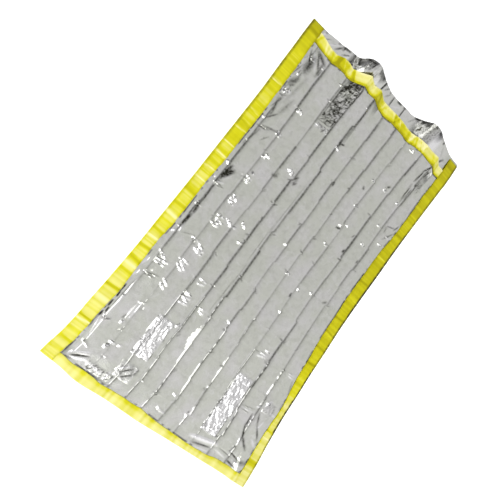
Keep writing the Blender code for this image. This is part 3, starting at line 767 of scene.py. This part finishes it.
def front_film(finish):
    rows = lines_between(LATTICE_ROWS, FRONT_STEP_Y, CROSS_SIDES, CROSS_SIDES)
    share, row = np.meshgrid(film_shares(), rows)
    x, y = film_place(share, row, MOUTH.line("upper_y", share) - FILM_INSET)
    true_share = share_of(x, y)
    room = relief_room(y, true_share)
    fold_height, fold_shade, fold_pale = long_folds(share, row)
    crease_height, crease_shade, crease_pale = placed_creases(x, y, CREASES)
    stroke_height, stroke_pale = strokes(x, y)
    patch_height, crinkle, patch_shade, patch_pale = patches(x, y)
    mark_height, mark_shade = crossing_marks(x, y, share, row)
    relief = lattice_value(RISE, share, row) + fold_height + cross_folds(share, row)
    relief += crease_height + stroke_height + patch_height + mark_height + soft_crinkles(x, y)
    z = upper_base(true_share, y) + room * relief
    # Painted shade along folds, creases, patches and marks, painted shadow beside the tapes, and painted
    # highlights.
    dash_shadow = shadow_dashes(x, y, true_share)
    painted_shade = np.maximum.reduce((fold_shade, crease_shade, patch_shade, mark_shade, dash_shadow))
    pale = np.maximum.reduce((fold_pale, crease_pale, stroke_pale, patch_pale * room))
    obj = film_mesh("front_film", x, y, z, painted_shade, crinkle * room, pale, finish)
    dress(obj, "front_panel")


# The flap is the lower film where it shows past the upper one. Its rows are closer, from a little before.
FLAP_FROM = 0.785
FLAP_ROWS = 56
FLAP_FREE_FROM = 0.002
FLAP_FREE_FULL = 0.020
FLAP_CRINKLE = 0.05
FLAP_PALE = 0.35

# Where the flap is duller all over, in painted shade: the middle, half the width, and how dark.
HUMP_SHADE = (
    (-0.245, 0.04, 0.8), (-0.17, 0.08, 0.3), (0.235, 0.06, 0.7), (0.285, 0.03, 0.62),
)
# Painted shade in patches along the flap's free rim.
RIM_MIDDLE = 0.992
RIM_HALF_WIDTH = 0.012
RIM_PLACES = np.linspace(-0.55, 0.55, 70)
RIM_SHADE_FROM = 0.55
RIM_SHADE_FULL = 0.80


def back_film(finish):
    rows = lines_between(LATTICE_ROWS[:-1], BACK_STEP_Y, CROSS_SIDES, CROSS_SIDES)
    rows = np.r_[rows, np.linspace(FLAP_FROM, 1.0, FLAP_ROWS)[1:]]
    share, row = np.meshgrid(film_shares(), rows)
    x, y = film_place(share, row, MOUTH.curve("lower_y", share))
    true_share = share_of(x, y)
    height, painted_shade, pale = placed_creases(x, y, FLAP_CREASES)
    edge = MOUTH.line("upper_y", true_share)
    free = ramp(y, edge + FLAP_FREE_FROM, edge + FLAP_FREE_FULL) * (1 - in_side_seam(true_share))
    z = lower_base(true_share, y) + height * free
    # Painted shade over the humps dulls their reflection.
    for hump_x, half_width, hump_shade in HUMP_SHADE:
        painted_shade = np.maximum(painted_shade, hump_shade * np.clip(2 * tent(x - hump_x, half_width), 0, 1))
    # Painted shade in patches along the rim.
    rim = tent(row - RIM_MIDDLE, RIM_HALF_WIDTH)
    chance = ramp(uneven(x, RIM_PLACES, 0, 1), RIM_SHADE_FROM, RIM_SHADE_FULL)
    painted_shade = np.maximum(painted_shade, rim * chance * free)
    obj = film_mesh("back_film", x, y, z, painted_shade, FLAP_CRINKLE * free, pale + FLAP_PALE * free, finish)
    dress(obj, "back_panel")


def tape_section(steps):
    """A folded tape's section from its lower edge to its upper one: rows of (place, leg, distance, rise).

    The place runs from 0 at the turn to 1 at the leg's own edge. The distance counts where the place is 0.
    """
    lower = [(t, 0, TAPE_TURN, 0.0) for t in np.linspace(1, 0, LOWER_LEG_STEPS)]
    turn = [(0, 0, 2 * TAPE_TURN_OUTER, TAPE_TURN_RISE / 2), (0, 0, TAPE_TURN_OUTER, TAPE_TURN_RISE)]
    turn += [(0, 1, TAPE_TURN_OUTER, -TAPE_TURN_RISE), (0, 1, 2 * TAPE_TURN_OUTER, -TAPE_TURN_RISE / 2)]
    upper = [(t, 1, TAPE_TURN, 0.0) for t in np.linspace(0, 1, steps)]
    return np.array(lower + turn + upper)


def section_grid(section, under, top):
    """(distance in from the fold, leg, rise) of each point, for legs of those widths."""
    place, leg, distance, rise = section.T
    reach = np.where(leg == 0, under[..., None], top[..., None])
    return distance + place * (reach - distance), leg, rise


def each_point(values, section):
    """A value for each point of a tape's grid, from one for each section along it."""
    return np.repeat(values[:, None], len(section), axis=1)


# Creases across the side tapes: y, half width and rise in millimetres, and how much paler, or deeper below 0.
# Paler is a painted highlight along the crease, and deeper below 0 painted shade in it.
LEFT_TAPE_CREASES = (
    (905, 12, 0.6, -0.7), (578, 4, 0.8, 1.0), (400, 4, 0.6, 0.6), (330, 9, 0.6, -0.6), (287, 4, 0.8, 0.8),
    (205, 4, 0.8, 0.9), (146, 6, 1, 1.0), (100, 10, 0.6, -0.5), (60, 4, 0.8, 0.7), (30, 4, 0.8, -0.5),
    (0, 4, 0.8, 0.8), (-70, 18, 0.6, -0.5), (-150, 12, 1, -0.7), (-200, 14, 0.8, 0.7),
    (-290, 10, 0.8, -0.6), (-330, 10, 0.8, 0.6), (-385, 12, 1, -0.9), (-440, 12, 1, -0.8),
    (-475, 10, 0.8, 0.6), (-505, 10, 1, -0.7), (-590, 8, 1, -0.9), (-650, 20, 0.6, 0.5),
    (-745, 6, 1, -0.9), (-765, 5, 1, 1.0), (-850, 6, 1, -0.6), (-905, 10, 0.6, -0.4),
)
RIGHT_TAPE_CREASES = (
    (905, 12, 0.6, -0.8), (700, 10, 0.6, -0.5), (560, 6, 0.8, 0.5), (430, 12, 0.6, -0.6),
    (280, 6, 0.8, 0.6), (130, 8, 0.8, -0.6), (20, 6, 0.8, 0.6), (-90, 8, 1, -0.8), (-180, 8, 1, -0.9),
    (-260, 10, 1, -0.9), (-340, 10, 1, -0.9), (-450, 12, 0.8, -0.6), (-560, 14, 0.8, 0.6),
    (-700, 5, 1, -0.8), (-730, 6, 0.8, 0.8), (-850, 20, 0.6, -0.8),
)
TAPE_CREASE_TILT = 0.15

# The side tapes' tone along their length, from deep (-1) over plain (0) to pale (1). This is painted light:
# paler towards the foot, nearer the light, and deeper towards the mouth and on the sloping right tape.
SIDE_TONES = Table("y left right", (
    (-0.97, 0.3, 0.55), (-0.6, 0.32, 0.3), (-0.4, 0.3, -0.1), (-0.1, 0.22, -0.28), (0.2, 0.05, -0.38),
    (0.55, 0.0, -0.4), (0.8, -0.1, -0.45), (0.95, -0.6, -0.6),
))
SIDE_TONE_PLACES = np.arange(-1, 1, 0.007)
SIDE_TONE_CHANCE = (-0.28, 0.22)

# How much painted shade deepens the side tapes' own edges, and how much painted shadow the outer one gets.
EDGE_SHADES = Table("y left right", (
    (-0.97, 0.15, 0.3), (-0.6, 0.2, 0.55), (-0.45, 0.25, 0.35), (0.55, 0.35, 0.45), (0.75, 0.35, 0.4),
    (0.95, 0.6, 0.6),
))
EDGE_SHADOW = Table("y left right", (
    (-0.97, 0.0, 0.1), (-0.62, 0.0, 0.7), (-0.42, 0.0, 0.6), (-0.3, 0.05, 0.3), (0.05, 0.1, 0.7),
    (0.35, 0.2, 0.8), (0.5, 0.25, 0.3), (0.95, 0.3, 0.3),
))
OUTER_SHADE_WIDTH = 0.25
INNER_SHADE_WIDTH = 0.20
EDGE_SHADOW_WIDTH = 0.0090
EDGE_SHADOW_CHANCE = (0.7, 2.6)

# The side tapes' rows. Those at the foot follow its bow.
SIDE_TAPE_STEPS = 12
SIDE_FOOT_END = -0.975
SIDE_FOOT_ROWS = np.linspace(SIDE_FOOT_END, -0.880, 18)
SIDE_ROWS_FROM = -0.876
SIDE_ROWS_STEP = 0.0056
SIDE_ROWS_END_GAP = 0.004
FOOT_FOLLOWED_FROM = -0.85
SIDE_EDGE_PLACES = np.arange(-1, 1, 0.013)
SIDE_EDGE_WAVER = 0.0012


def side_tape(side, creases, finish):
    """The tape folded over one side, whose edge is 0 at the left and 1 at the right."""
    section = tape_section(SIDE_TAPE_STEPS)
    edge = SIDES.index(side)
    inwards, end = 1 - 2 * edge, SIDE_TAPE_ENDS[edge]
    upper_edge, inner = float(MOUTH.line("upper_y", edge)), float(upper_tape_y(edge))
    even_rows = np.arange(SIDE_ROWS_FROM, end - SIDE_ROWS_END_GAP, SIDE_ROWS_STEP)
    rows = np.sort(np.r_[SIDE_FOOT_ROWS, even_rows, inner, upper_edge, end])
    top = SIDE_TAPE_TOPS.curve(side, rows) + SIDE_EDGE_WAVER * uneven(rows, SIDE_EDGE_PLACES, -1, 1)
    distance, leg, rise = section_grid(section, SIDE_TAPE_WIDTH - top, top)
    row = each_point(rows, section)
    share = edge + inwards * distance / BAG_WIDTH
    y = row + ramp(row, FOOT_FOLLOWED_FROM, SIDE_FOOT_END) * (FOOT.curve("y", share) - SIDE_FOOT_END)
    x = across(float(edge), y) + inwards * distance
    high = SEAM_TAPE_LEVEL + in_foot_seam(y, share) * 2 * FILM_TO_TAPE
    high = high + in_mouth_tape(y, edge) * 2 * WAVY_FILM_TO_TAPE
    high = high - ramp(y, upper_edge, end) * (FILM_TO_FILM + 2 * WAVY_FILM_TO_TAPE)
    crease = np.zeros_like(y)
    along = uneven(rows, SIDE_TONE_PLACES, *SIDE_TONE_CHANCE) + SIDE_TONES.line(side, rows)
    tone = each_point(along, section)
    # Each crease adds its painted highlight, or painted shade below 0, to the tone.
    for crease_y, half_width, crease_rise, crease_tone in in_metres(creases, 3):
        tilt = rng.uniform(-TAPE_CREASE_TILT, TAPE_CREASE_TILT)
        near = tent(y - crease_y - tilt * distance, half_width)
        crease += crease_rise * near
        tone += crease_tone * near
    z = TAPE_LEVEL + leg * (high + crease - TAPE_LEVEL) + rise + right_lift(share_of(x, y))
    obj = new_mesh(side + "_tape", x, y, z, finish)
    width = top[:, None]
    # Painted shade along both edges of the tape.
    shaded = tent(distance, OUTER_SHADE_WIDTH * width) + tent(distance - width, INNER_SHADE_WIDTH * width)
    tone -= EDGE_SHADES.line(side, rows)[:, None] * shaded
    # A painted shadow line along the tape's outer edge.
    outer_shadow = EDGE_SHADOW.line(side, rows) * rng.uniform(*EDGE_SHADOW_CHANCE, len(rows))
    paint(obj, "tone", tone)
    paint(obj, "outer_shadow", np.clip(outer_shadow[:, None] * (distance < EDGE_SHADOW_WIDTH), 0, 1))
    fold_over(obj, "tape_" + side)


CROSS_TAPE_STEPS = 9
FOOT_TAPE_STEP = 0.006
FOOT_TAPE_SIDES = (0.003,)
FOOT_EDGE_PLACES = np.linspace(0, 1, 60)
FOOT_EDGE_WAVER = 0.0010
FOOT_CHANCE_PLACES = np.linspace(0, 1, 90)
FOOT_CHANCE_RISE = 0.0005
# The foot tape is painted paler all over, a painted sheen of the light near the foot, less so on its inner
# half.
FOOT_OUTER_TONE = 0.50
FOOT_INNER_DEEPER = 0.35
FOOT_INNER_HALF = (0.55, 0.75)
FOOT_CHANCE_TONE = 0.30


def foot_tape(finish):
    section = tape_section(CROSS_TAPE_STEPS)
    shares = lines_between(LATTICE_SHARES, FOOT_TAPE_STEP, FOOT_TAPE_SIDES, FOOT_TAPE_SIDES)
    top = FOOT.curve("top", shares) + FOOT_EDGE_WAVER * uneven(shares, FOOT_EDGE_PLACES, -1, 1)
    distance, leg, rise = section_grid(section, FOOT_TAPE_WIDTH - top, top)
    share = each_point(shares, section)
    y = FOOT.curve("y", share) + distance
    x = between_edges(share, y)
    share = share_of(x, y)
    chance = uneven(shares, FOOT_CHANCE_PLACES, -1, 1)[:, None]
    height = TAPE_LEVEL + leg * (SEAM_TAPE_LEVEL + FOOT_CHANCE_RISE * chance - TAPE_LEVEL) + rise
    z = height + in_side_seam(share) * FILM_TO_TAPE + right_lift(share)
    obj = new_mesh("foot_tape", x, y, z, finish)
    half_from, half_full = FOOT_INNER_HALF
    inner_half = ramp(distance, half_from * top[:, None], half_full * top[:, None])
    # A painted sheen over the whole tape, less over its inner half, and random unevenness.
    paint(obj, "tone", FOOT_OUTER_TONE - FOOT_INNER_DEEPER * inner_half + FOOT_CHANCE_TONE * chance)
    fold_over(obj, "tape_foot")


# The mouth tape's tone along it, painted light and shade, deeper where the tape slopes away from the light.
# It is paler at its outer edge and middle, as a painted highlight, and deeper at its inner edge, as painted
# shade.
MOUTH_TONES = Table("share tone", (
    (0.0, -0.3), (0.08, 0.1), (0.15, 0.05), (0.2, -0.6), (0.24, -0.3), (0.29, 0.3), (0.36, 0.45),
    (0.41, 0.3), (0.46, -0.45), (0.52, 0.25), (0.58, -0.2), (0.64, -0.45), (0.7, 0.2), (0.78, 0.35),
    (0.86, 0.05), (0.92, 0.45), (1.0, 0.0),
))
MOUTH_CHANCE_PLACES = np.linspace(0, 1, 70)
MOUTH_CHANCE = (0.2, 1)
MOUTH_OUTER_WIDTH = 0.34
MOUTH_OUTER_PALER = 0.35
MOUTH_OUTER_CHANCE = 0.65
MOUTH_MIDDLE_WIDTH = 0.25
MOUTH_MIDDLE_PALER = 0.30
MOUTH_INNER_WIDTH = 0.26
MOUTH_INNER_DEEPER = 1.3
MOUTH_TAPE_CREASES = 60
MOUTH_CREASE_PLACES = (0.02, 0.98)
MOUTH_CREASE_WIDTHS = (0.003, 0.012)
MOUTH_CREASE_LEANS = (-0.03, 0.03)
MOUTH_CREASE_TONES = (-1.0, 0.8)


def mouth_tape(finish):
    section = tape_section(CROSS_TAPE_STEPS)
    shares = film_shares()
    width = MOUTH.line("tape", shares)
    distance, leg, rise = section_grid(section, width, width)
    share = each_point(shares, section)
    edge_y = MOUTH.line("upper_y", share)
    film_y = edge_y - np.maximum(distance, FILM_INSET)
    x = between_edges(share, film_y)
    share = share_of(x, film_y)
    z = upper_base(share, film_y) + (2 * leg - 1) * WAVY_FILM_TO_TAPE + rise
    obj = new_mesh("mouth_tape", x, edge_y - distance, z, finish)
    place = distance / width[:, None]
    chance = uneven(shares, MOUTH_CHANCE_PLACES, *MOUTH_CHANCE)[:, None]
    # Painted light and shade: highlight at the outer edge and middle, shade at the inner edge.
    tone = MOUTH_TONES.line("tone", share) + MOUTH_MIDDLE_PALER * tent(place - 0.5, MOUTH_MIDDLE_WIDTH)
    tone += (MOUTH_OUTER_PALER + MOUTH_OUTER_CHANCE * chance) * tent(place, MOUTH_OUTER_WIDTH)
    tone -= MOUTH_INNER_DEEPER * tent(place - 1, MOUTH_INNER_WIDTH)
    for _ in range(MOUTH_TAPE_CREASES):
        middle, half_width = rng.uniform(*MOUTH_CREASE_PLACES), rng.uniform(*MOUTH_CREASE_WIDTHS)
        lean, paler = rng.uniform(*MOUTH_CREASE_LEANS), rng.uniform(*MOUTH_CREASE_TONES)
        tone += paler * tent(share - middle - lean * place, half_width)
    paint(obj, "tone", tone)
    fold_over(obj, "tape_mouth")


def set_inputs(tree, node, inputs):
    """Gives a node its inputs, each a value or another node's output."""
    for name, value in inputs.items():
        if isinstance(value, bpy.types.NodeSocket):
            tree.links.new(value, node.inputs[name])
        else:
            node.inputs[name].default_value = value


def add_node(tree, kind, output, inputs, **settings):
    """The named output of a new node with those inputs and settings."""
    node = tree.nodes.new(kind)
    for name, value in settings.items():
        setattr(node, name, value)
    set_inputs(tree, node, inputs)
    return node.outputs[output]


def noise(tree, **inputs):
    """A noise in object coordinates."""
    place = add_node(tree, "ShaderNodeTexCoord", "Object", {})
    return add_node(tree, "ShaderNodeTexNoise", "Fac", {"Vector": place, **inputs})


def painted(tree, name):
    return add_node(tree, "ShaderNodeAttribute", "Fac", {}, attribute_name=name)


def spread(tree, source, low, high, from_low=0.0, from_high=1.0):
    """Maps a value from its own range onto low to high."""
    inputs = {"Value": source, "From Min": from_low, "From Max": from_high, "To Min": low, "To Max": high}
    return add_node(tree, "ShaderNodeMapRange", "Result", inputs)


def times(tree, first, second):
    return add_node(tree, "ShaderNodeMath", "Value", {0: first, 1: second}, operation="MULTIPLY")


def mixed(tree, factor, first, second, kind="MIX"):
    """Blends two colours, each a value or another node's output."""
    inputs = {"Factor": factor, "A": first, "B": second}
    return add_node(tree, "ShaderNodeMix", "Result", inputs, data_type="RGBA", blend_type=kind)


def bump(tree, source, strength, distance, **under):
    inputs = {"Height": source, "Strength": strength, "Distance": distance, **under}
    return add_node(tree, "ShaderNodeBump", "Normal", inputs)


def new_material(name):
    """(material, its node tree, its shader node)"""
    material = bpy.data.materials.new(name)
    material.use_nodes = True
    tree = material.node_tree
    return material, tree, tree.nodes["Principled BSDF"]


FILM_GREEN = (0.795, 0.805, 0.735, 1.0)
FILM_LILAC = (0.860, 0.845, 0.840, 1.0)
FILM_SHADED = (0.52, 0.52, 0.47, 1.0)
# The near-black of painted shade, and the pale of random flecks and of painted highlights.
FILM_PAINTED_SHADE = (0.030, 0.029, 0.020, 1.0)
FILM_PALE = (1.0, 0.99, 1.0, 1.0)


def film_material():
    material, tree, shader = new_material("film_silver")
    cloud = noise(tree, Scale=9.0, Detail=4.0)
    mottle = noise(tree, Scale=45.0, Detail=4.0)
    flecks = noise(tree, Scale=32.0, Detail=6.0, Roughness=0.7, Distortion=1.0)
    grain = noise(tree, Scale=120.0, Detail=2.0)
    shreds = noise(tree, Scale=85.0, Detail=3.0, Distortion=1.5)
    fine = noise(tree, Scale=60.0, Detail=4.0)
    film = mixed(tree, spread(tree, cloud, 0.0, 1.0, 0.45, 0.72), FILM_GREEN, FILM_LILAC)
    film = mixed(tree, spread(tree, mottle, 0.0, 0.32, 0.45, 0.75), film, FILM_SHADED)
    film = mixed(tree, spread(tree, flecks, 0.0, 0.45, 0.52, 0.72), film, FILM_PALE)
    # Painted highlights lighten the film, and painted shade, made uneven by a grain, darkens it.
    film = mixed(tree, painted(tree, "pale"), film, FILM_PALE)
    painted_shade = times(tree, painted(tree, "painted_shade"), spread(tree, grain, 0.75, 1.25, 0.3, 0.7))
    crisp = bump(tree, times(tree, shreds, painted(tree, "crinkle")), 1.0, 0.0018)
    set_inputs(tree, shader, {
        "Metallic": 1.0,
        "Base Color": mixed(tree, painted_shade, film, FILM_PAINTED_SHADE),
        "Roughness": spread(tree, cloud, 0.10, 0.20),
        "Normal": bump(tree, fine, 0.20, 0.0016, Normal=crisp),
    })
    return material


TAPE_DEEP = (0.37, 0.335, 0.002, 1.0)
TAPE_PLAIN = (0.625, 0.590, 0.006, 1.0)
TAPE_CLEAR = (0.735, 0.695, 0.020, 1.0)
TAPE_PALE = (0.950, 0.900, 0.430, 1.0)
# The colour of the painted shadow along the side tapes' outer edges.
TAPE_SHADOW = (0.055, 0.050, 0.015, 1.0)


def tape_material():
    material, tree, shader = new_material("tape_yellow")
    cloud = noise(tree, Scale=16.0, Detail=4.0)
    fine = noise(tree, Scale=55.0, Detail=3.0)
    tone = painted(tree, "tone")
    colour = mixed(tree, spread(tree, cloud, 0.0, 1.0, 0.3, 0.7), TAPE_PLAIN, TAPE_CLEAR)
    # The tone holds painted light and shade, deeper below 0 and paler above it, besides random unevenness.
    colour = mixed(tree, spread(tree, tone, 1.0, 0.0, -1.0, 0.0), colour, TAPE_DEEP)
    colour = mixed(tree, spread(tree, tone, 0.0, 1.0), colour, TAPE_PALE)
    set_inputs(tree, shader, {
        "Specular IOR Level": 0.12,
        # The painted shadow darkens the side tapes' outer edges.
        "Base Color": mixed(tree, painted(tree, "outer_shadow"), colour, TAPE_SHADOW),
        "Roughness": spread(tree, cloud, 0.30, 0.45),
        "Normal": bump(tree, fine, 0.35, 0.0020),
    })
    return material


FLOOR_SIZE = 60
FLOOR_LEVEL = -0.0005
FLOOR_COLOUR = (0.92, 0.92, 0.92, 1.0)
FLOOR_GLOW = 0.60


def floor():
    bpy.ops.mesh.primitive_plane_add(size=FLOOR_SIZE)
    plane = bpy.context.object
    plane.name = "floor"
    plane.location.z = FLOOR_LEVEL
    material, tree, shader = new_material("floor_white")
    set_inputs(tree, shader, {
        "Base Color": FLOOR_COLOUR,
        "Roughness": 0.9,
        "Specular IOR Level": 0.0,
        "Emission Color": FLOOR_COLOUR,
        "Emission Strength": FLOOR_GLOW,
    })
    plane.data.materials.append(material)


# The studio that the film reflects: a pale ceiling over darker walls, a panel and two softboxes. Each has
# its direction, and how bright it is by the cosine of the angle to that.
CEILING = ((0.237, 0.206, 0.949), ((-1.0, 0.3), (0.1, 0.22), (0.5, 0.2), (0.66, 0.7), (1.0, 0.7)))
PANEL = ((0.451, -0.702, 0.551), ((-1.0, 0.0), (0.89, 0.0), (0.95, 0.95), (1.0, 0.95)))
SOFTBOX = ((-0.601, -0.17, 0.781), ((-1.0, 0.0), (0.905, 0.0), (0.93, 2.0), (1.0, 2.0)))
LOW_SOFTBOX = ((-0.12, -0.68, 0.723), ((-1.0, 0.0), (0.94, 0.0), (0.958, 3.0), (1.0, 3.0)))
# The ceiling's factor along Y, and how bright a band round the floor is by its height.
FOOTWARDS = ((-1.0, 1.0), (-0.15, 1.0), (0.2, 0.87), (1.0, 0.84))
BAND = ((0.0, 0.95), (0.12, 0.85), (0.22, 0.0), (1.0, 0.0))


def radiance_ramp(tree, source, stops):
    """A grey for a value from 0 to 1, on straight lines between the stops."""
    node = tree.nodes.new("ShaderNodeValToRGB")
    elements = node.color_ramp.elements
    while len(elements) < len(stops):
        elements.new(0.5)
    for element, (place, radiance) in zip(elements, stops):
        element.position = place
        element.color = (radiance, radiance, radiance, 1)
    set_inputs(tree, node, {"Fac": source})
    return node.outputs["Color"]


def signed_ramp(tree, source, stops):
    """The same for a value from -1 to 1."""
    positive = spread(tree, source, 0.0, 1.0, -1.0, 1.0)
    return radiance_ramp(tree, positive, [((value + 1) / 2, radiance) for value, radiance in stops])


def round_direction(tree, place, direction, stops):
    inputs = {0: place, 1: direction}
    cosine = add_node(tree, "ShaderNodeVectorMath", "Value", inputs, operation="DOT_PRODUCT")
    return signed_ramp(tree, cosine, stops)


def surround():
    world = bpy.data.worlds.new("studio")
    bpy.context.scene.world = world
    world.use_nodes = True
    tree = world.node_tree
    place = add_node(tree, "ShaderNodeTexCoord", "Generated", {})
    y, z = (add_node(tree, "ShaderNodeSeparateXYZ", axis, {"Vector": place}) for axis in "YZ")
    light = round_direction(tree, place, *CEILING)
    light = mixed(tree, 1.0, light, signed_ramp(tree, y, FOOTWARDS), "MULTIPLY")
    light = mixed(tree, 1.0, light, radiance_ramp(tree, z, BAND), "LIGHTEN")
    for direction, stops in (PANEL, SOFTBOX, LOW_SOFTBOX):
        light = mixed(tree, 1.0, light, round_direction(tree, place, direction, stops), "LIGHTEN")
    set_inputs(tree, tree.nodes["Background"], {"Color": light})


def put_up(name, data, place, axes):
    """A lamp or camera at the place, with its own X, Y and Z along the axes. It looks along -Z."""
    obj = bpy.data.objects.new(name, data)
    turn = Matrix([tuple(axis) for axis in axes]).transposed()
    obj.matrix_world = Matrix.Translation(place) @ turn.to_4x4()
    bpy.context.scene.collection.objects.link(obj)
    return obj


LAMP_PLACE = (-1.15, -1.00, 2.30)
LAMP_WIDTH = 1.00
LAMP_POWER = 22.0


def lamp():
    """A round lamp high on the foot's left, turned to the bag's middle. It doesn't show in the film."""
    light = bpy.data.lights.new("lamp", "AREA")
    light.shape = "DISK"
    light.size = LAMP_WIDTH
    light.energy = LAMP_POWER
    back = np.array(LAMP_PLACE)
    back /= np.linalg.norm(back)
    side = np.cross((0, 1, 0), back)
    side /= np.linalg.norm(side)
    put_up("lamp", light, LAMP_PLACE, (side, np.cross(back, side), back)).visible_glossy = False


CAMERA_PLACE = (-0.5374, -0.4868, 1.8735)
CAMERA_RIGHT = (0.75151722, 0.58971281, 0.2957375)
CAMERA_UP = (-0.6205402, 0.78405933, 0.0134471)
CAMERA_LENS = 31.40
CAMERA_SENSOR = 36.0


def camera():
    data = bpy.data.cameras.new("camera")
    data.lens = CAMERA_LENS
    data.sensor_width = CAMERA_SENSOR
    axes = (CAMERA_RIGHT, CAMERA_UP, np.cross(CAMERA_RIGHT, CAMERA_UP))
    bpy.context.scene.camera = put_up("camera", data, CAMERA_PLACE, axes)


def main():
    silver, yellow = film_material(), tape_material()
    front_film(silver)
    back_film(silver)
    side_tape("left", LEFT_TAPE_CREASES, yellow)
    side_tape("right", RIGHT_TAPE_CREASES, yellow)
    foot_tape(yellow)
    mouth_tape(yellow)
    floor()
    surround()
    lamp()
    camera()
    bpy.context.scene.view_settings.view_transform = "Standard"


main()
bpy.context.view_layer.update()
